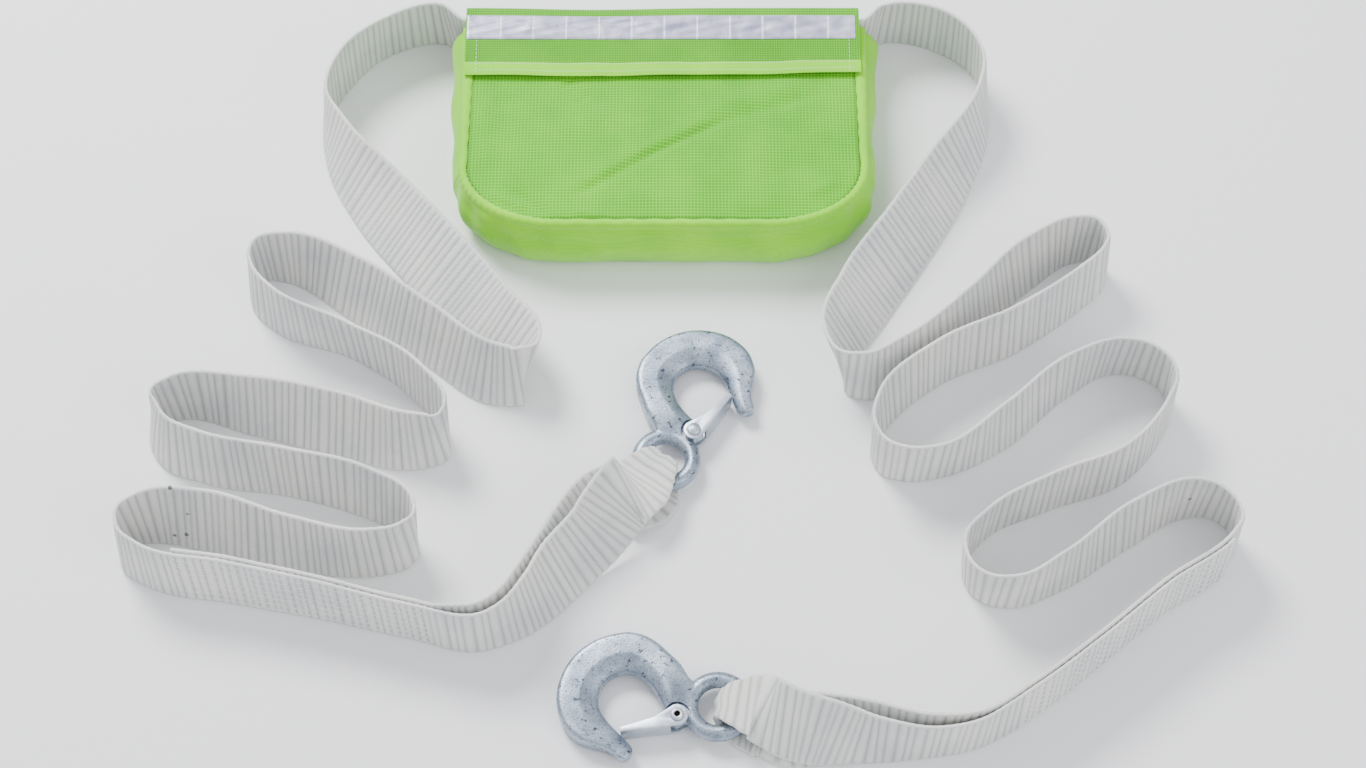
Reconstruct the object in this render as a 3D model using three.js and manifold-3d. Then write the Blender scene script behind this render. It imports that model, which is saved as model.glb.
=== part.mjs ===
// Vehicle tow strap: one length of 50 mm webbing with a forged eye hook with a
// spring latch sewn into each end, lying in loops with its middle passing through
// a hi-vis storage bag. Millimetres, +Z up, floor at z = 0, +X along the bag's
// mouth, -Y towards the hooks. The origin is under the middle of the bag.
import * as THREE from "three";
import { mergeVertices } from "three/addons/utils/BufferGeometryUtils.js";
import Module from "manifold-3d";

// Webbing
const WEB_WIDTH = 50;
const WEB_THICK = 2.7;
const LAYER_GAP = 0.4; // between the two layers of the sewn ends
const BUNCH_WIDTH = 16.5; // the webbing bunched inside a hook's eye
const BUNCH_THICK = 4.8;
const FLOOR_CLEAR = 0.05;
const TURN_PER_SECTION = 8; // degrees
const LENGTH_PER_SECTION = 18;

// Hook, in its own frame: eye centre at the origin, +X to the bowl, +Y to its back
const EYE_RADIUS = 16.5; // to the middle of the round bar
const EYE_BAR = 4.9; // radius of the bar
const EYE_HEIGHT = 10; // height of the bar's middle, resting on the webbing under it
const BIGHT_HEIGHT = 11.8; // middle of the webbing's turn round the bar
const BIGHT_RADIUS = 7;
const BIGHT_SHIFT = 6.6; // the turn's middle, past the bar's towards the eye's centre
const HOOK_TILT = 1.35; // degrees, from the eye down to the bowl
const PIN = [23.7, -7.2];
const PIN_RADIUS = 2.6;
const BORE_CLEAR = 0.3;
const BOSS_THICK = 5.2; // the hook between the latch's cheeks
const SEAT_RADIUS = 8.2;

// Latch: a pressed channel of sheet steel
const LATCH_SHEET = 1.6;
const LATCH_INNER = 11.2;
const LATCH_HEAD = 6.4;
const LATCH_TIP = [56.4, -15.9];
const LATCH_WAIST = [13, 2.9]; // along the cheek and towards the shank
const SPRING_WIRE = 0.45; // radius

// Bag
const CLOTH = 1.2;
const BAG_HALF = 129;
const BAG_NEAR = -84;
const BAG_FAR = 79; // the wall behind the mouth
const BAG_FOLD = 53.7; // height at which the flap folds over
const BAG_CORNER = 42; // depth of the rounded near corners
const BAG_CORNER_WIDTH = 62;
const BAG_TOP = 46;
const GUSSET_END = 69;
const GUSSET_BULGE = 12;
const PANEL_MOUTH = 55;

// Where the two hooks lie: eye centre, heading of the hook, heading of the webbing
const LEFT_EYE = [2, -233.8];
const LEFT_HEADING = 63;
const LEFT_PULL = 54.6;
const RIGHT_EYE = [33, -394.6];
const RIGHT_HEADING = 180;
const RIGHT_PULL = 170;

// The webbing's route as it stands on its edge: [x, y] of its lower edge on the
// floor and [x, y] of how far its upper edge leans from it. Some stations add the
// height of the lower edge, the width and the thickness there.
const LEFT_ROUTE = [
  [-148, 90, 0, -4],
  [-190, 80, 3, -5],
  [-217, 48, 2, -1],
  [-228, 19, 7, -1],
  [-224, -11, 18, 5],
  [-198, -62, 30, 20],
  [-164, -104, 32, 23],
  [-129, -147, 30, 25],
  [-101, -178, 25, 18],
  [-93, -189, 13, 14],
  [-106, -190, 8, 17],
  [-154, -159, 10, 16],
  [-199, -129, 12, 18],
  [-243, -101, 4, 8],
  [-258, -99, 2, 2],
  [-265, -107, 5, 1],
  [-264, -119, 6, 3],
  [-247, -137, 3, 4],
  [-196, -157, 0, -1],
  [-154, -189, 4, 3],
  [-134, -217, 2, 3],
  [-135, -229, -1, 7],
  [-148, -235, -3, 14],
  [-203, -226, 6, 21],
  [-255, -212, 4, 17],
  [-303, -201, 3, 4],
  [-317, -206, 7, 1],
  [-319, -218, 12, 4],
  [-312, -231, 10, 9],
  [-282, -245, 4, 11],
  [-229, -254, 2, 9],
  [-178, -270, 4, 11],
  [-154, -283, 5, 7],
  [-149, -293, 2, 5],
  [-155, -302, -1, 6],
  [-171, -307, -1, 8],
  [-225, -303, 3, 14],
  [-278, -291, 5, 19],
  [-311, -286, 2, 12],
  [-326, -290, 4, 5],
  [-327, -302, 6, 5],
  [-312, -313, 4, 5],
  [-257, -325, 2, 5],
  [-204, -335, 1, 3],
  [-151, -347, 1, 1],
  [-104, -355, -1, 2],
  [-84, -347, -9, 2],
  [-67, -335, -16, 4],
  [-48, -317, -22, 11, 0.5],
  [-28, -298, -23, 15, 4.5],
  [-9, -277, -24, 22, 16, 46, 2.9],
];
const BAG_ROUTE = [
  [-131, 74.5, 0, -3, 1.9],
  [-112, 70, 0, -3, 1.6],
  [-60, 66, 0, -2, 1.5],
  [0, 65, 0, -2, 1.5],
  [60, 66, 0, -2, 1.5],
  [112, 70, 0, -3, 1.6],
  [131, 74.5, 0, -3, 1.9],
];
const RIGHT_ROUTE = [
  [146, 90, -1, -5],
  [187, 84, -1, -2],
  [206, 70, -3, -3],
  [216, 48, -5, -2],
  [217, 17, -12, 1],
  [199, -36, -26, 10],
  [171, -85, -27, 17],
  [142, -130, -28, 17],
  [119, -168, -19, 9],
  [118, -182, -10, 5],
  [127, -186, -5, 6],
  [155, -174, -5, 7],
  [199, -141, -7, 9],
  [238, -105, -8, 10],
  [265, -86, -3, 5],
  [278, -84, -3, 1],
  [286, -94, -5, -1],
  [283, -106, -6, 2],
  [267, -121, -4, 4],
  [223, -153, -4, 6],
  [174, -176, -4, 5],
  [137, -211, -5, 4],
  [130, -227, -2, 1],
  [135, -238, -1, -1],
  [148, -243, -1, -2],
  [166, -242, 0, -2],
  [213, -221, -5, 6],
  [254, -185, -4, 4],
  [285, -168, -1, -2],
  [303, -171, -2, -3],
  [316, -183, -4, -2],
  [318, -196, -4, 0],
  [312, -211, -4, 1],
  [285, -244, -3, 3],
  [235, -264, -1, 2],
  [195, -284, -1, -1],
  [182, -304, -4, -1],
  [185, -317, -4, -3],
  [194, -325, -3, -3],
  [208, -328, -1, -1],
  [240, -317, -3, 4],
  [285, -288, -5, 8],
  [319, -269, -2, 3],
  [333, -268, -3, -1],
  [346, -278, -5, -2],
  [347, -291, -4, 0],
  [340, -301, -3, 1],
  [297, -331, -2, 1],
  [255, -365, -2, 1],
  [213, -397, -2, 2],
  [186, -412, -1, 1],
  [154, -415, 0, 1],
  [116, -419, -1, 15],
  [86, -427, 0, 31],
  [70, -428, 0, 40, 0, 46, 3],
];
// The second layer between the end of its seam and the hook's eye.
const LEFT_OPEN = [
  [-106, -348, -1, 2],
  [-88, -341, -8, 3],
  [-70, -328, -16, 6],
  [-50, -311, -23, 13],
  [-31, -292, -28, 22],
  [-14, -276, -30, 28, 0, 46, 2.9],
];
const RIGHT_OPEN = [
  [184, -416.5, -1, 0],
  [156, -422, 0, 0],
  [116, -426, -2, 13, 1],
  [81, -429, -3, 30, 10],
  [66, -424, -3, 37, 12, 46, 2.9],
];
const LEFT_SEAM = [1381, 1544]; // along the route from the left mouth of the bag
const RIGHT_SEAM = [1413, 1582];

const wasm = await Module();
wasm.setup();

function toSolid(geometry) {
  const bare = geometry.clone();
  bare.deleteAttribute("normal");
  bare.deleteAttribute("uv");
  const merged = mergeVertices(bare, 1e-4);
  return new wasm.Manifold(
    new wasm.Mesh({
      numProp: 3,
      vertProperties: new Float32Array(merged.attributes.position.array),
      triVerts: new Uint32Array(merged.index.array),
    }),
  );
}

function toGeometry(solid) {
  const mesh = solid.getMesh();
  const geometry = new THREE.BufferGeometry();
  geometry.setAttribute(
    "position",
    new THREE.BufferAttribute(new Float32Array(mesh.vertProperties), 3),
  );
  geometry.setIndex(Array.from(mesh.triVerts));
  return geometry;
}

// A closed mesh from rings of points: each ring joined to the next, both ends capped.
function loft(rings, closed = false) {
  const sides = rings[0].length;
  const positions = rings.flat().flatMap((p) => [p.x, p.y, p.z]);
  const faces = [];
  const spans = closed ? rings.length : rings.length - 1;
  for (let i = 0; i < spans; i++) {
    const here = i * sides;
    const next = ((i + 1) % rings.length) * sides;
    for (let j = 0; j < sides; j++) {
      const k = (j + 1) % sides;
      faces.push(here + j, here + k, next + k, here + j, next + k, next + j);
    }
  }
  if (!closed) {
    const last = (rings.length - 1) * sides;
    for (let j = 1; j < sides - 1; j++) {
      faces.push(0, j + 1, j, last, last + j, last + j + 1);
    }
  }
  return facingOut(positions, faces);
}

function facingOut(positions, faces) {
  const at = (i) => new THREE.Vector3().fromArray(positions, i * 3);
  let volume = 0;
  for (let i = 0; i < faces.length; i += 3) {
    volume += at(faces[i]).dot(at(faces[i + 1]).cross(at(faces[i + 2])));
  }
  if (volume < 0) faces.reverse();
  const geometry = new THREE.BufferGeometry();
  geometry.setAttribute("position", new THREE.Float32BufferAttribute(positions, 3));
  geometry.setIndex(faces);
  return geometry;
}

// A cloth shell of even thickness on a grid of points that give its middle surface.
function cloth(grid, thickness) {
  const rows = grid.length;
  const columns = grid[0].length;
  const normal = (r, c) => {
    const along = new THREE.Vector3().subVectors(
      grid[r][Math.min(c + 1, columns - 1)],
      grid[r][Math.max(c - 1, 0)],
    );
    const across = new THREE.Vector3().subVectors(
      grid[Math.min(r + 1, rows - 1)][c],
      grid[Math.max(r - 1, 0)][c],
    );
    return along.cross(across).normalize();
  };
  const positions = [];
  for (const side of [0.5, -0.5]) {
    for (let r = 0; r < rows; r++) {
      for (let c = 0; c < columns; c++) {
        const p = grid[r][c].clone().addScaledVector(normal(r, c), side * thickness);
        positions.push(p.x, p.y, p.z);
      }
    }
  }
  const upper = (r, c) => r * columns + c;
  const lower = (r, c) => rows * columns + r * columns + c;
  const faces = [];
  const quad = (a, b, c, d) => faces.push(a, b, c, a, c, d);
  for (let r = 0; r < rows - 1; r++) {
    for (let c = 0; c < columns - 1; c++) {
      quad(upper(r, c), upper(r, c + 1), upper(r + 1, c + 1), upper(r + 1, c));
      quad(lower(r, c), lower(r + 1, c), lower(r + 1, c + 1), lower(r, c + 1));
    }
  }
  for (let c = 0; c < columns - 1; c++) {
    quad(upper(0, c), lower(0, c), lower(0, c + 1), upper(0, c + 1));
    const r = rows - 1;
    quad(upper(r, c + 1), lower(r, c + 1), lower(r, c), upper(r, c));
  }
  for (let r = 0; r < rows - 1; r++) {
    quad(upper(r + 1, 0), lower(r + 1, 0), lower(r, 0), upper(r, 0));
    const c = columns - 1;
    quad(upper(r, c), lower(r, c), lower(r + 1, c), upper(r + 1, c));
  }
  return facingOut(positions, faces);
}

// Sections of webbing: the middle of the strip, the vector from its lower to its
// upper edge, and its thickness.
function section(station) {
  const [x, y, leanX, leanY, z = 0, width = WEB_WIDTH, thick = WEB_THICK] = station;
  const rise = Math.sqrt(Math.max(width ** 2 - leanX ** 2 - leanY ** 2, 0));
  const across = new THREE.Vector3(leanX, leanY, rise);
  const middle = new THREE.Vector3(x, y, z).addScaledVector(across, 0.5);
  return { middle, across, thick };
}

// The webbing's turn round the bar of a hook's eye, from under it to over it.
function bight(eye, pullDegrees, upperSide) {
  const pull = new THREE.Vector3(
    Math.cos(THREE.MathUtils.degToRad(pullDegrees)),
    Math.sin(THREE.MathUtils.degToRad(pullDegrees)),
    0,
  );
  const side = new THREE.Vector3(-pull.y, pull.x, 0).multiplyScalar(upperSide);
  const bar = new THREE.Vector3(eye[0], eye[1], 0).addScaledVector(pull, BIGHT_SHIFT - EYE_RADIUS);
  const radius = BIGHT_RADIUS + BUNCH_THICK / 2;
  const place = (along, height, width, thick) => ({
    middle: bar.clone().addScaledVector(pull, along).setZ(height),
    across: side.clone().multiplyScalar(width),
    thick,
  });
  const low = BIGHT_HEIGHT - radius;
  const high = BIGHT_HEIGHT + radius;
  const under = [place(-15, low, 46, 3), place(-6, low, 42, 3.4)];
  const over = [place(-6, high, 34, 3.4), place(-15, high, 40, 3.2)];
  const turn = [];
  for (let degrees = -90; degrees <= 90; degrees += 22.5) {
    const angle = THREE.MathUtils.degToRad(degrees);
    const spread = Math.abs(Math.sin(angle)) ** 3;
    const splay = degrees < 0 ? 17 : 11;
    turn.push(
      place(
        radius * Math.cos(angle),
        BIGHT_HEIGHT + radius * Math.sin(angle),
        BUNCH_WIDTH + splay * spread,
        BUNCH_THICK - spread,
      ),
    );
  }
  return [...under, ...turn, ...over];
}

// A smooth path through the sections, stepped more closely where it turns.
function smooth(sections) {
  const flat = sections.map(({ middle, across, thick }) => [
    ...middle.toArray(),
    ...across.toArray(),
    thick,
  ]);
  const gaps = flat.slice(1).map((row, i) => sections[i + 1].middle.distanceTo(sections[i].middle));
  const slopes = flat.map((row, i) => {
    const before = Math.max(i - 1, 0);
    const after = Math.min(i + 1, flat.length - 1);
    if (before === i || after === i) {
      const gap = before === i ? gaps[i] : gaps[i - 1];
      return row.map((_, k) => (flat[after][k] - flat[before][k]) / gap);
    }
    const near = gaps[before];
    const far = gaps[i];
    return row.map((value, k) => {
      const into = (value - flat[before][k]) / near;
      const out = (flat[after][k] - value) / far;
      return (into * far + out * near) / (near + far);
    });
  });
  const fine = [];
  for (let i = 0; i < flat.length - 1; i++) {
    const steps = Math.max(2, Math.ceil(gaps[i] / 2));
    for (let step = 0; step < steps; step++) {
      const t = step / steps;
      const weights = [
        2 * t ** 3 - 3 * t ** 2 + 1,
        (t ** 3 - 2 * t ** 2 + t) * gaps[i],
        -2 * t ** 3 + 3 * t ** 2,
        (t ** 3 - t ** 2) * gaps[i],
      ];
      fine.push(
        flat[i].map(
          (value, k) =>
            weights[0] * value +
            weights[1] * slopes[i][k] +
            weights[2] * flat[i + 1][k] +
            weights[3] * slopes[i + 1][k],
        ),
      );
    }
  }
  fine.push(flat.at(-1));
  return withFrames(
    fine.map((row) => ({
      middle: new THREE.Vector3(row[0], row[1], row[2]),
      across: new THREE.Vector3(row[3], row[4], row[5]),
      thick: row[6],
    })),
  );
}

// Adds the direction, the face normal and the length so far to each section, and
// turns the width square to the run.
function withFrames(path) {
  let run = 0;
  path.forEach((here, i) => {
    const before = path[Math.max(i - 1, 0)];
    const after = path[Math.min(i + 1, path.length - 1)];
    if (i > 0) run += here.middle.distanceTo(before.middle);
    here.run = run;
    here.along = new THREE.Vector3().subVectors(after.middle, before.middle).normalize();
  });
  for (const here of path) {
    const width = here.wide ?? here.across.length();
    here.wide = width;
    here.across.addScaledVector(here.along, -here.across.dot(here.along)).setLength(width);
    here.normal = new THREE.Vector3().crossVectors(here.along, here.across).normalize();
  }
  return path;
}

// Lifts each section until its lowest corner clears the floor.
function onFloor(path) {
  for (const here of path) {
    const reach = (Math.abs(here.across.z) + Math.abs(here.normal.z) * here.thick) / 2;
    const low = here.middle.z - reach;
    if (low < FLOOR_CLEAR) here.middle.z += FLOOR_CLEAR - low;
  }
  return path;
}

// A layer lying on one face of part of a path.
function layerOn(path, from, to, side) {
  const offset = (WEB_THICK + LAYER_GAP) * side;
  return path
    .filter((here) => here.run >= from && here.run <= to)
    .map((here) => ({
      middle: here.middle.clone().addScaledVector(here.normal, offset),
      across: here.across.clone(),
      thick: here.thick,
    }));
}

function thinned(path) {
  const kept = [path[0]];
  let turned = 0;
  for (let i = 1; i < path.length - 1; i++) {
    const last = kept.at(-1);
    turned = Math.max(
      THREE.MathUtils.radToDeg(last.along.angleTo(path[i].along)),
      THREE.MathUtils.radToDeg(last.across.angleTo(path[i].across)),
    );
    const far = path[i].run - last.run;
    if (turned > TURN_PER_SECTION || far > LENGTH_PER_SECTION) kept.push(path[i]);
  }
  kept.push(path.at(-1));
  return kept;
}

function webbing() {
  const leftTurn = bight(LEFT_EYE, LEFT_PULL, 1);
  const rightTurn = bight(RIGHT_EYE, RIGHT_PULL, -1);
  const over = (turn) => turn.slice(2);
  const under = (turn) => turn.slice(0, -2);

  // The main length: over the left eye's bar, through the bag, to under the right one.
  const main = onFloor(
    smooth([
      ...leftTurn.slice(-2),
      ...LEFT_ROUTE.toReversed().map(section),
      ...BAG_ROUTE.map(section),
      ...RIGHT_ROUTE.map(section),
      ...rightTurn.slice(0, 2),
    ]),
  );
  const mouth = (index) => {
    const at = section(index < 0 ? LEFT_ROUTE[0] : RIGHT_ROUTE[0]).middle;
    return main.reduce((a, b) =>
      a.middle.distanceTo(at) < b.middle.distanceTo(at) ? a : b,
    ).run;
  };
  const leftSeam = LEFT_SEAM.map((run) => mouth(-1) - run);
  const rightSeam = RIGHT_SEAM.map((run) => mouth(1) + run);

  const leftLayer = layerOn(main, leftSeam[1], leftSeam[0], 1).reverse();
  const rightLayer = layerOn(main, rightSeam[0], rightSeam[1], -1);
  const leftEnd = [
    ...leftLayer.slice(-1),
    ...LEFT_OPEN.map(section),
    ...leftTurn.slice(0, -2),
    leftTurn.at(-2),
  ];
  const rightEnd = [
    rightTurn[1],
    ...rightTurn.slice(2),
    ...RIGHT_OPEN.toReversed().map(section),
    ...rightLayer.slice(-1),
  ];
  const pieces = [
    ...leftLayer.slice(0, -1),
    ...onFloor(smooth(leftEnd)).slice(0, -1),
    ...main.slice(main.findIndex((p) => p.run > 8), main.findLastIndex((p) => p.run < main.at(-1).run - 8)),
    ...onFloor(smooth(rightEnd)).slice(1),
    ...rightLayer.toReversed().slice(1),
  ].map(({ middle, across, thick, wide }) => ({ middle, across, thick, wide }));
  const path = onFloor(thinned(withFrames(pieces)));
  return loft(
    path.map(({ middle, across, normal, thick }) =>
      [
        [-0.5, 0.5],
        [0.5, 0.5],
        [0.5, -0.5],
        [-0.5, -0.5],
      ].map(([edge, face]) =>
        middle
          .clone()
          .addScaledVector(across, edge)
          .addScaledVector(normal, face * thick),
      ),
    ),
  );
}

// Hook: [inner x, inner y, outer x, outer y, thickness] from the eye to the tip.
const HOOK_STATIONS = [
  [19.0, -10.5, 11.0, 13.0, 8.6],
  [24.5, -13.4, 16.2, 16.4, 11.5],
  [30.0, -9.0, 22.0, 25.5, 14.5],
  [32.0, -2.2, 28.7, 32.2, 15.5],
  [35.2, 5.6, 35.4, 38.6, 15.5],
  [39.6, 12.6, 42.6, 43.0, 15.5],
  [46.2, 18.4, 49.4, 44.9, 15.5],
  [53.3, 20.3, 56.0, 45.1, 15.5],
  [60.2, 18.8, 70.7, 41.2, 15.5],
  [65.9, 14.4, 83.9, 31.5, 15.5],
  [68.9, 9.0, 92.0, 18.0, 15.5],
  [69.7, 3.2, 94.4, 3.0, 15.5],
  [68.6, -2.6, 90.5, -11.5, 15.0],
  [64.6, -8.8, 81.0, -21.4, 14.0],
  [60.6, -13.2, 71.6, -24.8, 12.4],
  [57.1, -17.0, 65.4, -26.8, 10.8],
  [53.5, -20.8, 61.0, -29.2, 9.6],
  [50.6, -24.2, 58.0, -31.8, 8.8],
  [49.6, -27.4, 55.6, -33.0, 7.6],
  [50.6, -30.2, 53.4, -32.8, 4.6],
];

function hook() {
  const rings = HOOK_STATIONS.map(([ix, iy, ox, oy, thick]) => {
    const wide = Math.hypot(ox - ix, oy - iy);
    const chamfer = Math.min(2.6 / wide, 0.2);
    const profile = [
      [0, 0.14],
      [0.1, 0.32],
      [0.4, 0.5],
      [1 - chamfer, 0.5],
      [1, 0.32],
    ];
    const outline = [...profile, ...profile.toReversed().map(([a, z]) => [a, -z])];
    return outline.map(
      ([a, z]) => new THREE.Vector3(ix + (ox - ix) * a, iy + (oy - iy) * a, z * thick),
    );
  });
  const body = toSolid(loft(rings));
  const eye = toSolid(new THREE.TorusGeometry(EYE_RADIUS, EYE_BAR, 10, 26));
  let solid = body.add(eye);
  // The seats of the latch's cheeks, either side of the pin boss, and its bore.
  for (const side of [1, -1]) {
    const seat = new THREE.CylinderGeometry(SEAT_RADIUS, SEAT_RADIUS, 10, 24);
    seat.rotateX(Math.PI / 2);
    seat.translate(PIN[0], PIN[1], side * (BOSS_THICK / 2 + 5));
    solid = solid.subtract(toSolid(seat));
  }
  const bore = new THREE.CylinderGeometry(
    PIN_RADIUS + BORE_CLEAR,
    PIN_RADIUS + BORE_CLEAR,
    20,
    16,
  );
  bore.rotateX(Math.PI / 2);
  bore.translate(PIN[0], PIN[1], 0);
  return toGeometry(solid.subtract(toSolid(bore)));
}

// Latch cheek: a round head on the pin and two flanks to a blunt tip.
function latchOutline(head) {
  const reach = new THREE.Vector2(LATCH_TIP[0] - PIN[0], LATCH_TIP[1] - PIN[1]);
  const heading = reach.angle();
  const shape = new THREE.Shape();
  const points = [];
  for (let degrees = 80; degrees <= 280; degrees += 20) {
    const angle = heading + THREE.MathUtils.degToRad(degrees);
    points.push([PIN[0] + head * Math.cos(angle), PIN[1] + head * Math.sin(angle)]);
  }
  const across = new THREE.Vector2(Math.sin(heading), -Math.cos(heading));
  points.push([LATCH_TIP[0] + across.x * 1.6, LATCH_TIP[1] + across.y * 1.6]);
  points.push([LATCH_TIP[0] - across.x * 1.4, LATCH_TIP[1] - across.y * 1.4]);
  // The waist that lets the cheek fold down beside the shank.
  points.push([
    PIN[0] + LATCH_WAIST[0] * Math.cos(heading) - LATCH_WAIST[1] * across.x,
    PIN[1] + LATCH_WAIST[0] * Math.sin(heading) - LATCH_WAIST[1] * across.y,
  ]);
  points.forEach(([x, y], i) => (i ? shape.lineTo(x, y) : shape.moveTo(x, y)));
  shape.closePath();
  return { shape, heading, across };
}

function latch() {
  const { shape, heading, across } = latchOutline(LATCH_HEAD);
  const width = LATCH_INNER + 2 * LATCH_SHEET;
  const block = new THREE.ExtrudeGeometry(shape, { depth: width, bevelEnabled: false });
  block.translate(0, 0, -width / 2);
  // The hollow between the cheeks: open at the back and round the head, closed by
  // the web along the outer flank.
  const inside = new THREE.Shape();
  const place = (along, out) => [
    PIN[0] + along * Math.cos(heading) + out * across.x,
    PIN[1] + along * Math.sin(heading) + out * across.y,
  ];
  const web = (along) => {
    const slope = (1.6 - LATCH_HEAD * 0.985) / 34;
    return LATCH_HEAD * 0.985 + slope * along - LATCH_SHEET;
  };
  [
    place(-12, -12),
    place(-12, 12),
    place(5.5, 12),
    place(5.5, web(5.5)),
    place(36, web(36)),
    place(36, -12),
  ].forEach(([x, y], i) => (i ? inside.lineTo(x, y) : inside.moveTo(x, y)));
  inside.closePath();
  const hollow = new THREE.ExtrudeGeometry(inside, { depth: LATCH_INNER, bevelEnabled: false });
  hollow.translate(0, 0, -LATCH_INNER / 2);
  const bore = new THREE.CylinderGeometry(
    PIN_RADIUS + BORE_CLEAR,
    PIN_RADIUS + BORE_CLEAR,
    20,
    16,
  );
  bore.rotateX(Math.PI / 2);
  bore.translate(PIN[0], PIN[1], 0);
  return toGeometry(toSolid(block).subtract(toSolid(hollow)).subtract(toSolid(bore)));
}

// Rivet: a domed head on the upper cheek and a flared tubular tail under the lower.
function latchPin() {
  const cheek = LATCH_INNER / 2 + LATCH_SHEET + BORE_CLEAR;
  const profile = [
    [0, cheek + 1.8],
    [2.2, cheek + 1.55],
    [3.8, cheek + 0.8],
    [4.3, cheek],
    [PIN_RADIUS, cheek],
    [PIN_RADIUS, -cheek],
    [4.0, -cheek],
    [4.0, -cheek - 0.7],
    [2.6, -cheek - 1.5],
    [1.7, -cheek - 1.2],
    [1.7, -cheek + 2.5],
    [0, -cheek + 2.5],
  ].map(([radius, z]) => new THREE.Vector2(radius, z));
  const geometry = new THREE.LatheGeometry(profile.toReversed(), 14);
  geometry.rotateX(Math.PI / 2);
  geometry.translate(PIN[0], PIN[1], 0);
  return geometry;
}

// Torsion spring: two turns round the pin beside the boss, one leg against the
// inside of the web and the other past the throat edge of the hook.
function latchSpring() {
  const points = [];
  const radius = 4.1;
  const turns = 1.5;
  const steps = 18;
  const from = THREE.MathUtils.degToRad(40);
  const low = BOSS_THICK / 2 + BORE_CLEAR + SPRING_WIRE;
  const high = LATCH_INNER / 2 - BORE_CLEAR - SPRING_WIRE;
  for (let i = 0; i <= steps; i++) {
    const angle = from + (i / steps) * turns * 2 * Math.PI;
    points.push(
      new THREE.Vector3(
        PIN[0] + radius * Math.cos(angle),
        PIN[1] + radius * Math.sin(angle),
        low + (i / steps) * (high - low),
      ),
    );
  }
  const start = new THREE.Vector3(PIN[0] + 9.6, PIN[1] + 3.4, low);
  const path = new THREE.CatmullRomCurve3([start, ...points]);
  const rings = [];
  const count = 26;
  for (let i = 0; i <= count; i++) {
    const middle = path.getPointAt(i / count);
    const along = path.getTangentAt(i / count);
    const side = new THREE.Vector3(0, 0, 1).cross(along).normalize();
    const up = new THREE.Vector3().crossVectors(along, side);
    const ring = [];
    for (let j = 0; j < 5; j++) {
      const angle = (j / 5) * 2 * Math.PI;
      ring.push(
        middle
          .clone()
          .addScaledVector(side, SPRING_WIRE * Math.cos(angle))
          .addScaledVector(up, SPRING_WIRE * Math.sin(angle)),
      );
    }
    rings.push(ring);
  }
  return loft(rings);
}

// Bag outline seen from above: half its width at each distance from the near side.
function halfWidth(y) {
  const into = y - BAG_NEAR;
  if (into >= BAG_CORNER) return BAG_HALF;
  const rest = 1 - into / BAG_CORNER;
  return BAG_HALF - BAG_CORNER_WIDTH * (1 - Math.sqrt(1 - rest ** 2));
}

function panelRows(farY, height) {
  const corner = [0, 2, 6, 12, 20, 30, 42].map((into) => BAG_NEAR + into);
  const straight = [20, 45, 70, 95].map((into) => BAG_NEAR + BAG_CORNER + into);
  const rows = [...corner, ...straight.filter((y) => y < farY - 8), farY];
  return rows.map((y) => {
    const half = halfWidth(y);
    const columns = 8;
    return Array.from({ length: columns + 1 }, (_, c) => {
      const across = (c / columns) * 2 - 1;
      return new THREE.Vector3(across * half, y, height(across, y));
    });
  });
}

function bagBackPanel() {
  const floor = panelRows(GUSSET_END + 1, () => CLOTH / 2 + 0.05);
  const columns = floor[0].length;
  const wall = [
    [BAG_FAR - 4, 0.75, BAG_HALF - 0.5],
    [BAG_FAR - 1.6, 1.6, BAG_HALF - 1.5],
    [BAG_FAR - 0.4, 5, BAG_HALF - 2],
    [BAG_FAR, 20, BAG_HALF - 2],
    [BAG_FAR, 38, BAG_HALF - 2],
    [BAG_FAR, BAG_FOLD - 1.1, BAG_HALF - 2],
  ].map(([y, z, half]) =>
    Array.from(
      { length: columns },
      (_, c) => new THREE.Vector3(((c / (columns - 1)) * 2 - 1) * half, y, z),
    ),
  );
  return cloth([...floor, ...wall], CLOTH);
}

function bagFrontPanel() {
  const crown = (across, y) => {
    const toMouth = (y - BAG_NEAR) / (PANEL_MOUTH - BAG_NEAR);
    const dome = (1 - across ** 2) * Math.sin(Math.PI * Math.min(toMouth + 0.12, 1));
    return BAG_TOP + CLOTH / 2 + 0.3 + 1.6 * dome;
  };
  return cloth(panelRows(PANEL_MOUTH, crown), CLOTH);
}

function bagGusset() {
  const corner = BAG_CORNER;
  const wide = BAG_CORNER_WIDTH;
  const path = [];
  const leftSide = [GUSSET_END, 62, 48, 25, 0, BAG_NEAR + corner + 14];
  for (const y of leftSide) path.push([-BAG_HALF, y, -1, 0]);
  for (let degrees = 180; degrees <= 270; degrees += 15) {
    const angle = THREE.MathUtils.degToRad(degrees);
    const outward = new THREE.Vector2(Math.cos(angle) / wide, Math.sin(angle) / corner);
    outward.normalize();
    path.push([
      -BAG_HALF + wide + wide * Math.cos(angle),
      BAG_NEAR + corner + corner * Math.sin(angle),
      outward.x,
      outward.y,
    ]);
  }
  for (const x of [-45, -20, 0]) path.push([x, BAG_NEAR, 0, -1]);
  const mirrored = path.slice(0, -1).toReversed().map(([x, y, nx, ny]) => [-x, y, -nx, ny]);
  const grid = [...path, ...mirrored].map(([x, y, nx, ny]) => {
    const side = Math.abs(nx);
    const bulge = GUSSET_BULGE * (0.6 + Math.max(y + 42, 0) * 0.0045 * side);
    const low = CLOTH + 0.7;
    const high = BAG_TOP - 0.35;
    return Array.from({ length: 6 }, (_, i) => {
      const rise = i / 5;
      const out = bulge * Math.sin(Math.PI * rise) ** 0.8 - CLOTH / 2;
      return new THREE.Vector3(x + nx * out, y + ny * out, low + (high - low) * rise);
    });
  });
  return cloth(grid, CLOTH);
}

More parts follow.
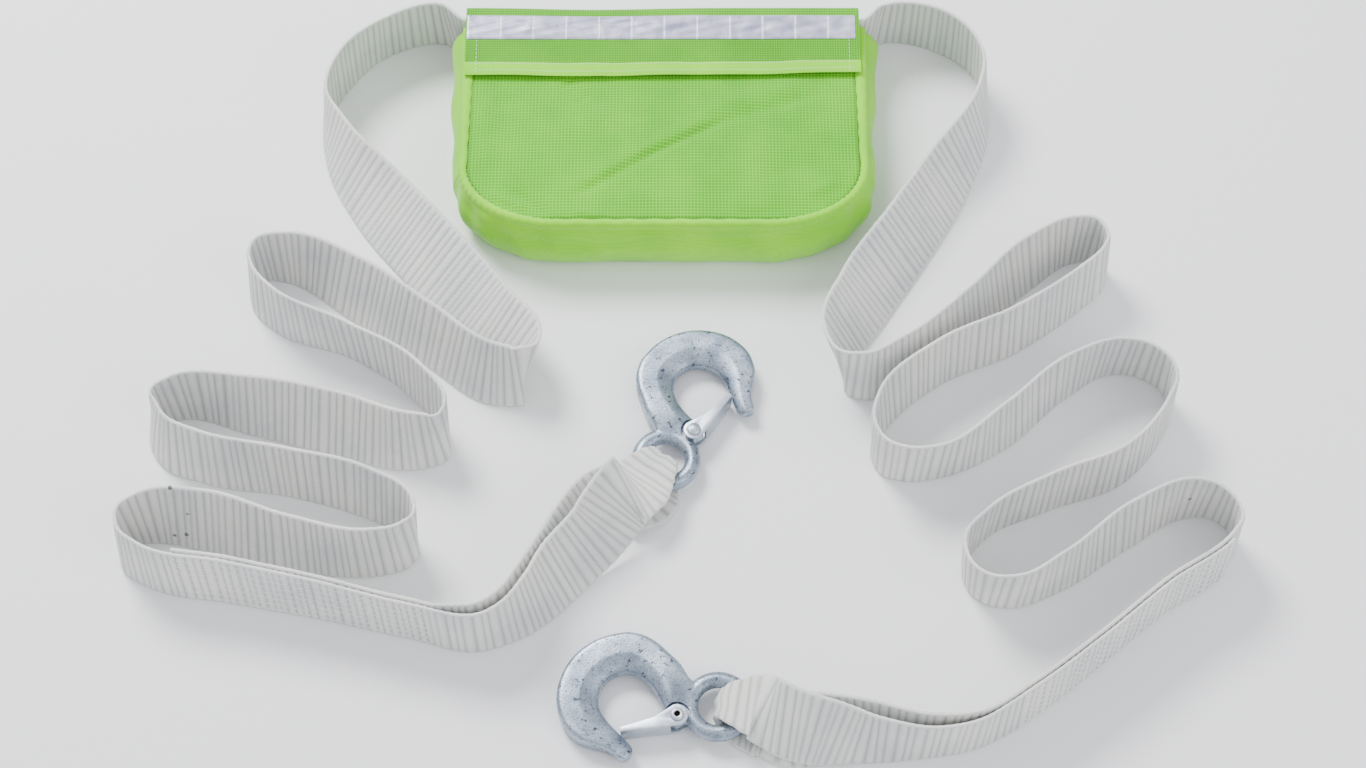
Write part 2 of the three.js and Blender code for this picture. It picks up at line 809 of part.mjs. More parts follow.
// Flap: from the fold behind the mouth, over the webbing and down on the front panel.
// How far it has come from the fold, and how far it stands above it there.
const FLAP_LINE = [
  [0, 0],
  [1.2, 1.9],
  [5.5, 2.7],
  [13, 2.5],
  [24, 0.9],
  [35, -1.3],
  [45, -2.9],
  [50.5, -3.4],
].map(([back, rise]) => [BAG_FAR - back, BAG_FOLD + rise]);

function bagFlap() {
  const grid = FLAP_LINE.map(([y, z], i) =>
    Array.from({ length: 9 }, (_, c) => {
      const across = (c / 8) * 2 - 1;
      const half = i < 2 ? BAG_HALF - 0.5 : BAG_HALF + 1;
      return new THREE.Vector3(across * half - 1, y, z);
    }),
  );
  return cloth(grid, 1.6);
}

function reflectiveTape() {
  const line = [
    [6, 4.05],
    [13, 3.75],
    [24, 2.15],
    [28, 1.4],
  ].map(([back, rise]) => [BAG_FAR - back, BAG_FOLD + rise]);
  const grid = line.map(([y, z]) =>
    Array.from(
      { length: 9 },
      (_, c) => new THREE.Vector3(((c / 8) * 2 - 1) * (BAG_HALF - 0.5) - 2, y, z),
    ),
  );
  return cloth(grid, 0.5);
}

function material(color, roughness, metalness) {
  return new THREE.MeshStandardMaterial({ color, roughness, metalness });
}

const webbingWhite = material(0xd4d4d6, 0.85, 0);
const zincSteel = material(0xaab4bf, 0.42, 0.9);
const bagGreen = material(0x8fce3c, 0.8, 0);
const bagTrimGreen = material(0xa4e23e, 0.75, 0);
const tapeSilver = material(0xa9aab6, 0.35, 0.3);

function named(name, geometry, meshMaterial) {
  geometry.computeVertexNormals();
  const mesh = new THREE.Mesh(geometry, meshMaterial);
  mesh.name = name;
  return mesh;
}

// One hook with its latch, placed so that its eye hangs in the webbing's turn.
function hookSet(prefix, eye, heading, flipped) {
  const set = new THREE.Group();
  set.add(named(`${prefix}_hook`, hook(), zincSteel));
  set.add(named(`${prefix}_latch`, latch(), zincSteel));
  set.add(named(`${prefix}_latch_pin`, latchPin(), zincSteel));
  set.add(named(`${prefix}_latch_spring`, latchSpring(), zincSteel));
  if (flipped) set.rotation.x = Math.PI;
  const tilt = new THREE.Group();
  tilt.add(set);
  tilt.rotation.y = THREE.MathUtils.degToRad(HOOK_TILT);
  const placed = new THREE.Group();
  placed.add(tilt);
  placed.rotation.z = THREE.MathUtils.degToRad(heading);
  placed.position.set(eye[0], eye[1], EYE_HEIGHT);
  return placed;
}

const towStrap = new THREE.Group();
towStrap.add(named("webbing", webbing(), webbingWhite));
towStrap.add(hookSet("left", LEFT_EYE, LEFT_HEADING, false));
towStrap.add(hookSet("right", RIGHT_EYE, RIGHT_HEADING, true));
towStrap.add(named("bag_back_panel", bagBackPanel(), bagGreen));
towStrap.add(named("bag_gusset", bagGusset(), bagTrimGreen));
towStrap.add(named("bag_front_panel", bagFrontPanel(), bagGreen));
towStrap.add(named("bag_flap", bagFlap(), bagGreen));
towStrap.add(named("reflective_tape", reflectiveTape(), tapeSilver));

export default towStrap;
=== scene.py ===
# Vehicle tow strap: 50 mm webbing with a forged latch hook sewn into each end, its
# middle through a lime storage bag. Metres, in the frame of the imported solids.
import math

import bmesh
import bpy
from mathutils import Matrix, Vector


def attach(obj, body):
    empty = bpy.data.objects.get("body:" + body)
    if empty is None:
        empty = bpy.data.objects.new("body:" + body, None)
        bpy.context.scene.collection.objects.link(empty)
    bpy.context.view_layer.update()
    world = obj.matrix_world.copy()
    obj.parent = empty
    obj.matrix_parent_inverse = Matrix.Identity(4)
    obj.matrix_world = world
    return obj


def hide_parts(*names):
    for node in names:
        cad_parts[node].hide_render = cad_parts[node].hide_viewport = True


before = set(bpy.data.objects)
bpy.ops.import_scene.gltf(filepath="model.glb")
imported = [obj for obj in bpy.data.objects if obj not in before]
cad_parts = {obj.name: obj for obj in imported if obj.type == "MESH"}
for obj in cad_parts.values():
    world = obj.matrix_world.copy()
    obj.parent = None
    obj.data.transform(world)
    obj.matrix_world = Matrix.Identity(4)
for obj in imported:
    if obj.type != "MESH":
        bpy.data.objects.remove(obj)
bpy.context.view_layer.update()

MM = 0.001

# The view. The strap lies on a pale studio floor under a large soft lamp from the far
# left, with a weaker one from the near right and a pale sky all round.
FOCAL_PIXELS = 2300
IMAGE_WIDTH = 1366
CAMERA_PLACE = (0.0125, -0.8696, 1.2793)
CAMERA_PITCH = 28.5

camera_data = bpy.data.cameras.new("camera")
camera_data.sensor_width = 36
camera_data.lens = 36 * FOCAL_PIXELS / IMAGE_WIDTH
camera = bpy.data.objects.new("camera", camera_data)
camera.location = CAMERA_PLACE
camera.rotation_euler = (math.radians(CAMERA_PITCH), 0, 0)
bpy.context.scene.collection.objects.link(camera)
bpy.context.scene.camera = camera


def hex_colour(text):
    def linear(value):
        return value / 12.92 if value <= 0.04045 else ((value + 0.055) / 1.055) ** 2.4

    return [linear(int(text[i : i + 2], 16) / 255) for i in (0, 2, 4)] + [1.0]


def add(tree, kind, inputs=(), stops=(), **settings):
    """Adds a node with its settings; an input is a value, or a socket to link, and
    stops are a colour ramp's places with their colours or grey values."""
    node = tree.nodes.new(kind)
    for name, value in settings.items():
        setattr(node, name, value)
    for name, value in dict(inputs).items():
        socket = node.inputs[name]
        if isinstance(value, bpy.types.NodeSocket):
            tree.links.new(value, socket)
        else:
            socket.default_value = value
    while stops and len(node.color_ramp.elements) < len(stops):
        node.color_ramp.elements.new(0.5)
    for i, (place, colour) in enumerate(stops):
        point = node.color_ramp.elements[i]
        point.position = place
        point.color = hex_colour(colour) if isinstance(colour, str) else [colour] * 3 + [1]
    return node


def new_material(name):
    material = bpy.data.materials.new(name)
    material.use_nodes = True
    tree = material.node_tree
    tree.nodes.clear()
    shader = add(tree, "ShaderNodeBsdfPrincipled")
    output = add(tree, "ShaderNodeOutputMaterial", {"Surface": shader.outputs["BSDF"]})
    output.location = (400, 0)
    return material, tree, shader


def new_mesh(name, vertices, faces, material, smooth=True):
    mesh = bpy.data.meshes.new(name)
    mesh.from_pydata([tuple(v) for v in vertices], [], faces)
    mesh.polygons.foreach_set("use_smooth", [smooth] * len(mesh.polygons))
    mesh.materials.append(material)
    mesh.update()
    piece = bpy.data.objects.new(name, mesh)
    bpy.context.scene.collection.objects.link(piece)
    return piece


floor_material, tree, shader = new_material("pale studio floor")
shader.inputs["Base Color"].default_value = hex_colour("f4f4f6")
shader.inputs["Roughness"].default_value = 0.9
floor = new_mesh(
    "studio_floor",
    [(-6, -6, 0), (6, -6, 0), (6, 6, 0), (-6, 6, 0)],
    [(0, 1, 2, 3)],
    floor_material,
)


def soft_lamp(name, place, aim, size, power):
    lamp_data = bpy.data.lights.new(name, "AREA")
    lamp_data.shape = "DISK"
    lamp_data.size = size
    lamp_data.energy = power
    lamp = bpy.data.objects.new(name, lamp_data)
    lamp.location = place
    heading = Vector(aim) - Vector(place)
    lamp.rotation_euler = heading.to_track_quat("-Z", "Y").to_euler()
    bpy.context.scene.collection.objects.link(lamp)


soft_lamp("key_lamp", (-0.9, 1.1, 1.9), (0, -0.15, 0), 1.0, 88)
soft_lamp("fill_lamp", (1.4, -1.2, 1.6), (0, -0.15, 0), 1.6, 18)

world = bpy.data.worlds.new("studio sky")
world.use_nodes = True
world.node_tree.nodes["Background"].inputs["Color"].default_value = hex_colour("f2f4f8")
world.node_tree.nodes["Background"].inputs["Strength"].default_value = 1.15
bpy.context.scene.world = world

# Webbing: one strip of undyed polyester, 50 mm by 2.7 mm, woven with raised bars
# across it. It is folded back on itself round each hook's eye and sewn there, and its
# loops stand on their edge on the floor.
WEB_WIDTH = 50
WEB_THICK = 2.7
LAYER_GAP = 0.4
BUNCH_WIDTH = 16.5
BUNCH_THICK = 4.8
FLOOR_CLEAR = 0.05
RIB_PITCH = 4.8
RIB_RISE = 0.5
SECTION_STEP = RIB_PITCH / 5

EYE_RADIUS = 16.5
EYE_BAR = 4.9
EYE_HEIGHT = 10
BIGHT_HEIGHT = 11.8
BIGHT_RADIUS = 7
BIGHT_SHIFT = 6.6
LEFT_EYE = (2, -233.8)
LEFT_HEADING = 63
LEFT_PULL = 54.6
RIGHT_EYE = (33, -394.6)
RIGHT_HEADING = 180
RIGHT_PULL = 170
HOOK_TILT = 1.35

# Stations of the standing webbing: the lower edge's x and y, how far the upper edge
# leans from it, and here and there the lower edge's height, the width and thickness.
LEFT_ROUTE = [
    (-148, 90, 0, -4), (-190, 80, 3, -5), (-217, 48, 2, -1), (-228, 19, 7, -1),
    (-224, -11, 18, 5), (-198, -62, 30, 20), (-164, -104, 32, 23), (-129, -147, 30, 25),
    (-101, -178, 25, 18), (-93, -189, 13, 14), (-106, -190, 8, 17), (-154, -159, 10, 16),
    (-199, -129, 12, 18), (-243, -101, 4, 8), (-258, -99, 2, 2), (-265, -107, 5, 1),
    (-264, -119, 6, 3), (-247, -137, 3, 4), (-196, -157, 0, -1), (-154, -189, 4, 3),
    (-134, -217, 2, 3), (-135, -229, -1, 7), (-148, -235, -3, 14), (-203, -226, 6, 21),
    (-255, -212, 4, 17), (-303, -201, 3, 4), (-317, -206, 7, 1), (-319, -218, 12, 4),
    (-312, -231, 10, 9), (-282, -245, 4, 11), (-229, -254, 2, 9), (-178, -270, 4, 11),
    (-154, -283, 5, 7), (-149, -293, 2, 5), (-155, -302, -1, 6), (-171, -307, -1, 8),
    (-225, -303, 3, 14), (-278, -291, 5, 19), (-311, -286, 2, 12), (-326, -290, 4, 5),
    (-327, -302, 6, 5), (-312, -313, 4, 5), (-257, -325, 2, 5), (-204, -335, 1, 3),
    (-151, -347, 1, 1), (-104, -355, -1, 2), (-84, -347, -9, 2), (-67, -335, -16, 4),
    (-48, -317, -22, 11, 0.5), (-28, -298, -23, 15, 4.5), (-9, -277, -24, 22, 16, 46, 2.9),
]
BAG_ROUTE = [
    (-131, 74.5, 0, -3, 1.9), (-112, 70, 0, -3, 1.6), (-60, 66, 0, -2, 1.5),
    (0, 65, 0, -2, 1.5), (60, 66, 0, -2, 1.5), (112, 70, 0, -3, 1.6),
    (131, 74.5, 0, -3, 1.9),
]
RIGHT_ROUTE = [
    (146, 90, -1, -5), (187, 84, -1, -2), (206, 70, -3, -3), (216, 48, -5, -2),
    (217, 17, -12, 1), (199, -36, -26, 10), (171, -85, -27, 17), (142, -130, -28, 17),
    (119, -168, -19, 9), (118, -182, -10, 5), (127, -186, -5, 6), (155, -174, -5, 7),
    (199, -141, -7, 9), (238, -105, -8, 10), (265, -86, -3, 5), (278, -84, -3, 1),
    (286, -94, -5, -1), (283, -106, -6, 2), (267, -121, -4, 4), (223, -153, -4, 6),
    (174, -176, -4, 5), (137, -211, -5, 4), (130, -227, -2, 1), (135, -238, -1, -1),
    (148, -243, -1, -2), (166, -242, 0, -2), (213, -221, -5, 6), (254, -185, -4, 4),
    (285, -168, -1, -2), (303, -171, -2, -3), (316, -183, -4, -2), (318, -196, -4, 0),
    (312, -211, -4, 1), (285, -244, -3, 3), (235, -264, -1, 2), (195, -284, -1, -1),
    (182, -304, -4, -1), (185, -317, -4, -3), (194, -325, -3, -3), (208, -328, -1, -1),
    (240, -317, -3, 4), (285, -288, -5, 8), (319, -269, -2, 3), (333, -268, -3, -1),
    (346, -278, -5, -2), (347, -291, -4, 0), (340, -301, -3, 1), (297, -331, -2, 1),
    (255, -365, -2, 1), (213, -397, -2, 2), (186, -412, -1, 1), (154, -415, 0, 1),
    (116, -419, -1, 15), (86, -427, 0, 31), (70, -428, 0, 40, 0, 46, 3),
]
# The second layer between the end of its seam and the hook's eye.
LEFT_OPEN = [
    (-106, -348, -1, 2), (-88, -341, -8, 3), (-70, -328, -16, 6), (-50, -311, -23, 13),
    (-31, -292, -28, 22), (-14, -276, -30, 28, 0, 46, 2.9),
]
RIGHT_OPEN = [
    (184, -416.5, -1, 0), (156, -422, 0, 0), (116, -426, -2, 13, 1), (81, -429, -3, 30, 10),
    (66, -424, -3, 37, 12, 46, 2.9),
]
LEFT_SEAM = (1381, 1544)
RIGHT_SEAM = (1413, 1582)


def section(station):
    x, y, lean_x, lean_y, *more = station
    height, width, thick = (list(more) + [0, WEB_WIDTH, WEB_THICK][len(more) :])[:3]
    rise = math.sqrt(max(width**2 - lean_x**2 - lean_y**2, 0))
    across = Vector((lean_x, lean_y, rise))
    return {"middle": Vector((x, y, height)) + across / 2, "across": across, "thick": thick}


def bight(eye, pull_degrees, upper_side):
    """The webbing's turn round the bar of a hook's eye, from under it to over it."""
    pull = Vector((math.cos(math.radians(pull_degrees)), math.sin(math.radians(pull_degrees)), 0))
    side = Vector((-pull.y, pull.x, 0)) * upper_side
    bar = Vector((eye[0], eye[1], 0)) + pull * (BIGHT_SHIFT - EYE_RADIUS)
    radius = BIGHT_RADIUS + BUNCH_THICK / 2

    def place(along, height, width, thick):
        middle = bar + pull * along
        middle.z = height
        return {"middle": middle, "across": side * width, "thick": thick}

    low = BIGHT_HEIGHT - radius
    high = BIGHT_HEIGHT + radius
    turn = [place(-15, low, 46, 3), place(-6, low, 42, 3.4)]
    for i in range(9):
        angle = math.radians(-90 + 22.5 * i)
        spread = abs(math.sin(angle)) ** 3
        splay = 17 if angle < 0 else 11
        turn.append(
            place(
                radius * math.cos(angle),
                BIGHT_HEIGHT + radius * math.sin(angle),
                BUNCH_WIDTH + splay * spread,
                BUNCH_THICK - spread,
            )
        )
    return turn + [place(-6, high, 34, 3.4), place(-15, high, 40, 3.2)]


def with_frames(path):
    run = 0
    for i, here in enumerate(path):
        before = path[max(i - 1, 0)]
        after = path[min(i + 1, len(path) - 1)]
        if i:
            run += (here["middle"] - before["middle"]).length
        here["run"] = run
        here["along"] = (after["middle"] - before["middle"]).normalized()
    for here in path:
        width = here.get("wide", here["across"].length)
        across = here["across"] - here["along"] * here["across"].dot(here["along"])
        here["wide"] = width
        here["across"] = across.normalized() * width
        here["normal"] = here["along"].cross(here["across"]).normalized()
    return path


def smooth_path(sections):
    """A smooth path through the sections, stepped about every 2 mm."""
    flat = [[*s["middle"], *s["across"], s["thick"]] for s in sections]
    gaps = [
        (b["middle"] - a["middle"]).length for a, b in zip(sections[:-1], sections[1:])
    ]
    slopes = []
    for i, row in enumerate(flat):
        if i == 0 or i == len(flat) - 1:
            first, gap = (0, gaps[0]) if i == 0 else (i - 1, gaps[i - 1])
            slopes.append([(b - a) / gap for a, b in zip(flat[first], flat[first + 1])])
            continue
        near, far = gaps[i - 1], gaps[i]
        slopes.append(
            [
                ((value - back) / near * far + (ahead - value) / far * near) / (near + far)
                for back, value, ahead in zip(flat[i - 1], row, flat[i + 1])
            ]
        )
    fine = []
    for i, gap in enumerate(gaps):
        steps = max(2, math.ceil(gap / 2))
        for step in range(steps):
            t = step / steps
            weights = (
                2 * t**3 - 3 * t**2 + 1,
                (t**3 - 2 * t**2 + t) * gap,
                -2 * t**3 + 3 * t**2,
                (t**3 - t**2) * gap,
            )
            rows = (flat[i], slopes[i], flat[i + 1], slopes[i + 1])
            fine.append([sum(w * v for w, v in zip(weights, column)) for column in zip(*rows)])
    fine.append(flat[-1])
    return with_frames(
        [
            {"middle": Vector(row[:3]), "across": Vector(row[3:6]), "thick": row[6]}
            for row in fine
        ]
    )


def on_floor(path, clear=FLOOR_CLEAR):
    for here in path:
        reach = (abs(here["across"].z) + abs(here["normal"].z) * here["thick"]) / 2
        low = here["middle"].z - reach
        if low < clear:
            here["middle"].z += clear - low
    return path


def layer_on(path, start, stop, side):
    """A layer lying on one face of part of a path."""
    offset = (WEB_THICK + LAYER_GAP) * side
    return [
        {
            "middle": here["middle"] + here["normal"] * offset,
            "across": here["across"].copy(),
            "thick": here["thick"],
        }
        for here in path
        if start <= here["run"] <= stop
    ]


left_turn = bight(LEFT_EYE, LEFT_PULL, 1)
right_turn = bight(RIGHT_EYE, RIGHT_PULL, -1)
main_length = on_floor(
    smooth_path(
        left_turn[-2:]
        + [section(s) for s in reversed(LEFT_ROUTE)]
        + [section(s) for s in BAG_ROUTE]
        + [section(s) for s in RIGHT_ROUTE]
        + right_turn[:2]
    )
)


def run_at(station):
    place = section(station)["middle"]
    return min(main_length, key=lambda here: (here["middle"] - place).length)["run"]


left_mouth = run_at(LEFT_ROUTE[0])
right_mouth = run_at(RIGHT_ROUTE[0])
left_seam = [left_mouth - run for run in LEFT_SEAM]
right_seam = [right_mouth + run for run in RIGHT_SEAM]
left_layer = layer_on(main_length, left_seam[1], left_seam[0], 1)[::-1]
right_layer = layer_on(main_length, right_seam[0], right_seam[1], -1)
left_end = left_layer[-1:] + [section(s) for s in LEFT_OPEN] + left_turn[:-2] + [left_turn[-2]]
right_end = (
    [right_turn[1]]
    + right_turn[2:]
    + [section(s) for s in reversed(RIGHT_OPEN)]
    + right_layer[-1:]
)
last_run = main_length[-1]["run"]
left_end = on_floor(smooth_path(left_end))
right_end = on_floor(smooth_path(right_end))
strip = (
    left_layer[:-1]
    + left_end[:-1]
    + [here for here in main_length if 8 < here["run"] < last_run - 8]
    + right_end[1:]
    + right_layer[::-1][1:]
)
strip = with_frames([dict(here) for here in strip])


def at_even_steps(path, step):
    """The same path with a section every step millimetres."""
    total = path[-1]["run"]
    count = round(total / step)
    even = []
    i = 0
    for k in range(count + 1):
        run = total * k / count
        while i < len(path) - 2 and path[i + 1]["run"] < run:
            i += 1
        a, b = path[i], path[i + 1]
        t = min(max((run - a["run"]) / max(b["run"] - a["run"], 1e-6), 0), 1)
        even.append(
            {
                "middle": a["middle"].lerp(b["middle"], t),
                "across": a["across"].lerp(b["across"], t),
                "thick": a["thick"] * (1 - t) + b["thick"] * t,
                "wide": a["wide"] * (1 - t) + b["wide"] * t,
            }
        )
    calm = []
    for k, here in enumerate(even):
        near = even[max(k - 3, 0) : k + 4]
        calm.append(
            {
                "middle": sum((s["middle"] for s in near), Vector()) / len(near),
                "across": sum((s["across"] for s in near), Vector()) / len(near),
                "thick": here["thick"],
                "wide": here["wide"],
            }
        )
    return with_frames(calm)


strip = on_floor(at_even_steps(strip, SECTION_STEP), FLOOR_CLEAR + RIB_RISE)

# Around a section: across the width from -0.5 to 0.5, through the thickness from -0.5
# to 0.5, and how much the bars raise the cloth there. The selvedges are plain.
RING = (
    [(-0.5, 0.28, 0), (-0.47, 0.47, 0.2), (-0.42, 0.5, 1)]
    + [(-0.14, 0.5, 1), (0.14, 0.5, 1)]
    + [(0.42, 0.5, 1), (0.47, 0.47, 0.2), (0.5, 0.28, 0)]
)
RING = RING + [(-across, -through, rise) for across, through, rise in RING]
UNEVEN = (0.0, 0.55, -0.35, 0.2, -0.6, 0.4, 0.1, -0.25)


def strip_mesh(path):
    vertices = []
    along = []
    across_share = []
    bar_height = []
    for k, here in enumerate(path):
        run = here["run"]
        bar = run / RIB_PITCH
        drift = 0.07 * UNEVEN[int(bar) % 8] + 0.3 * math.sin(bar * 0.37) + 0.12 * math.sin(bar * 1.9)
        height = (0.5 + 0.5 * math.cos(2 * math.pi * (bar + drift))) ** 0.6
        bunched = max(0, min(1, (46 - here["wide"]) / 16))
        wave = 0.25 * math.sin(run / 3.1) * math.sin(run / 7.7 + 1)
        for across, through, rise in RING:
            lift = RIB_RISE * rise * (height - 0.6) * math.copysign(1, through)
            fold = bunched * 1.1 * math.sin(9.5 * across + 0.6) * (1 - abs(across))
            edge = wave * 0.8 if abs(across) > 0.46 else 0
            width = here["wide"] + edge + 0.9 * height * (abs(across) > 0.46)
            place = here["middle"] + here["across"] * (across * width / here["wide"])
            place += here["normal"] * (through * here["thick"] + lift + fold)
            vertices.append(place * MM)
            along.append(run * MM)
            across_share.append(across)
            bar_height.append(height if rise else 0.8)
    count = len(RING)
    faces = []
    for i in range(len(path) - 1):
        for j in range(count):
            k = (j + 1) % count
            a, b = i * count, (i + 1) * count
            faces.append((a + j, b + j, b + k, a + k))
    last = (len(path) - 1) * count
    half = count // 2
    for j in range(half - 1):
        faces.append((j, j + 1, count - 2 - j, count - 1 - j))
        faces.append((last + j + 1, last + j, last + count - 1 - j, last + count - 2 - j))
    return vertices, faces, (("web_run", along), ("web_across", across_share), ("web_bar", bar_height))


def facing_out(mesh):
    shape = bmesh.new()
    shape.from_mesh(mesh)
    bmesh.ops.recalc_face_normals(shape, faces=shape.faces)
    if shape.calc_volume(signed=True) < 0:
        bmesh.ops.reverse_faces(shape, faces=shape.faces)
    shape.to_mesh(mesh)
    shape.free()
    mesh.polygons.foreach_set("use_smooth", [True] * len(mesh.polygons))
    mesh.update()


# Polyester webbing, woven undyed: an off-white with a matt, slightly silky face, warp
# threads that run along it about 1 mm apart, and a little dust and graphite grey marks.
web_material, tree, shader = new_material("undyed polyester webbing")
run_along = add(tree, "ShaderNodeAttribute", attribute_name="web_run").outputs["Fac"]
run_across = add(tree, "ShaderNodeAttribute", attribute_name="web_across").outputs["Fac"]
place = add(tree, "ShaderNodeTexCoord").outputs["Object"]
warp = add(
    tree,
    "ShaderNodeMath",
    {
        0: add(
            tree,
            "ShaderNodeMath",
            {0: run_across, 1: 2 * math.pi * 42},
            operation="MULTIPLY",
        ).outputs[0],
    },
    operation="SINE",
).outputs[0]
weft = add(
    tree,
    "ShaderNodeMath",
    {
        0: add(
            tree,
            "ShaderNodeMath",
            {0: run_along, 1: 2 * math.pi / (1.2 * MM)},
            operation="MULTIPLY",
        ).outputs[0],
    },
    operation="SINE",
).outputs[0]
weave = add(tree, "ShaderNodeMath", {0: warp, 1: weft}, operation="MULTIPLY").outputs[0]
bar_height = add(tree, "ShaderNodeAttribute", attribute_name="web_bar").outputs["Fac"]
# Scales are per metre: the tone drifts over 38 mm, and thread fuzz is 1.1 mm.
cloud = add(tree, "ShaderNodeTexNoise", {"Vector": place, "Scale": 26, "Detail": 5}).outputs["Fac"]
fuzz = add(tree, "ShaderNodeTexNoise", {"Vector": place, "Scale": 900, "Detail": 3}).outputs["Fac"]
tone = add(
    tree,
    "ShaderNodeValToRGB",
    {"Fac": cloud},
    stops=[(0.3, "dcddde"), (0.5, "e9eae6"), (0.72, "f4f4ec")],
).outputs["Color"]
thread = add(
    tree,
    "ShaderNodeValToRGB",
    {
        "Fac": add(
            tree,
            "ShaderNodeMath",
            {
                0: weave,
                1: 0.35,
                2: add(tree, "ShaderNodeMath", {0: fuzz, 1: 1.0}, operation="MULTIPLY").outputs[0],
            },
            operation="MULTIPLY_ADD",
        ).outputs[0],
    },
    stops=[(0.15, "c9cacf"), (0.5, "ededec"), (0.8, "ffffff")],
).outputs["Color"]
# Painted shade: the low gaps between the raised bars are darkened, where shade falls between them.
painted_groove_shade = add(
    tree,
    "ShaderNodeValToRGB",
    {"Fac": bar_height},
    stops=[(0.05, "a6a9b2"), (0.5, "ebebec"), (0.95, "ffffff")],
).outputs["Color"]
cloth_colour = add(
    tree,
    "ShaderNodeMix",
    {"Factor": 0.55, "A": tone, "B": thread},
    data_type="RGBA",
    blend_type="MULTIPLY",
)
ribbed_colour = add(
    tree,
    "ShaderNodeMix",
    {"Factor": 0.7, "A": cloth_colour.outputs["Result"], "B": painted_groove_shade},
    data_type="RGBA",
    blend_type="MULTIPLY",
)
# A few small graphite-grey specks of road dirt, at their places in millimetres.
SPECKS = [
    (-292.5, -271.4, 47.9, 1.4), (-284.6, -278.9, 29.0, 1.1), (-295.4, -284.8, 10.5, 1.2),
    (-287.7, -285.1, 12.5, 1.6), (318.2, -269.3, 27.2, 1.3),
]
speckled = ribbed_colour.outputs["Result"]
for x, y, z, radius in SPECKS:
    gap = add(
        tree,
        "ShaderNodeVectorMath",
        {0: place, 1: (x * MM, y * MM, z * MM)},
        operation="DISTANCE",
    )
    ragged = add(
        tree,
        "ShaderNodeMath",
        {0: fuzz, 1: 0.002, 2: gap.outputs["Value"]},
        operation="MULTIPLY_ADD",
    ).outputs[0]
    inside = add(
        tree,
        "ShaderNodeMath",
        {0: ragged, 1: (radius + 1) * MM},
        operation="LESS_THAN",
    ).outputs[0]
    speck = add(
        tree,
        "ShaderNodeMix",
        {"Factor": inside, "A": speckled, "B": hex_colour("6a6c6e")},
        data_type="RGBA",
    )
    speckled = speck.outputs["Result"]
tree.links.new(speckled, shader.inputs["Base Color"])
shader.inputs["Roughness"].default_value = 0.85
shader.inputs["Sheen Weight"].default_value = 0.25
shader.inputs["Specular IOR Level"].default_value = 0.25
bump = add(
    tree,
    "ShaderNodeBump",
    {
        "Strength": 0.5,
        "Distance": 0.0004,
        "Height": add(
            tree,
            "ShaderNodeMath",
            {
                0: weave,
                1: 0.6,
                2: add(tree, "ShaderNodeMath", {0: fuzz, 1: 1.2}, operation="MULTIPLY").outputs[0],
            },
            operation="MULTIPLY_ADD",
        ).outputs[0],
    },
)
tree.links.new(bump.outputs["Normal"], shader.inputs["Normal"])

vertices, faces, measures = strip_mesh(strip)
webbing = new_mesh("tow_webbing", vertices, faces, web_material)
facing_out(webbing.data)
for name, values in measures:
    webbing.data.attributes.new(name, "FLOAT", "POINT").data.foreach_set("value", values)


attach(webbing, "strap_and_bag")
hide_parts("webbing")

# Stitching of the sewn ends: zigzag rows of white bonded polyester thread through both
# layers, from the cut end to where the layers open towards the hook.
STITCH_PITCH = 3.4
STITCH_LENGTH = 2.7
THREAD_RADIUS = 0.42
ROWS = (-0.42, -0.28, -0.14, 0.0, 0.14, 0.28, 0.42)
ZIGZAG = 0.035
ZIGZAG_STEP = 5.5

thread_material, tree, shader = new_material("white bonded polyester thread")
shader.inputs["Base Color"].default_value = hex_colour("eeeeee")
shader.inputs["Roughness"].default_value = 0.6
shader.inputs["Sheen Weight"].default_value = 0.2


def applied(piece):
    """The same object with its modifiers worked into a plain mesh."""
    graph = bpy.context.evaluated_depsgraph_get()
    plain = bpy.data.meshes.new_from_object(piece.evaluated_get(graph))
    piece.modifiers.clear()
    old = piece.data
    piece.data = plain
    bpy.data.meshes.remove(old)
    return piece


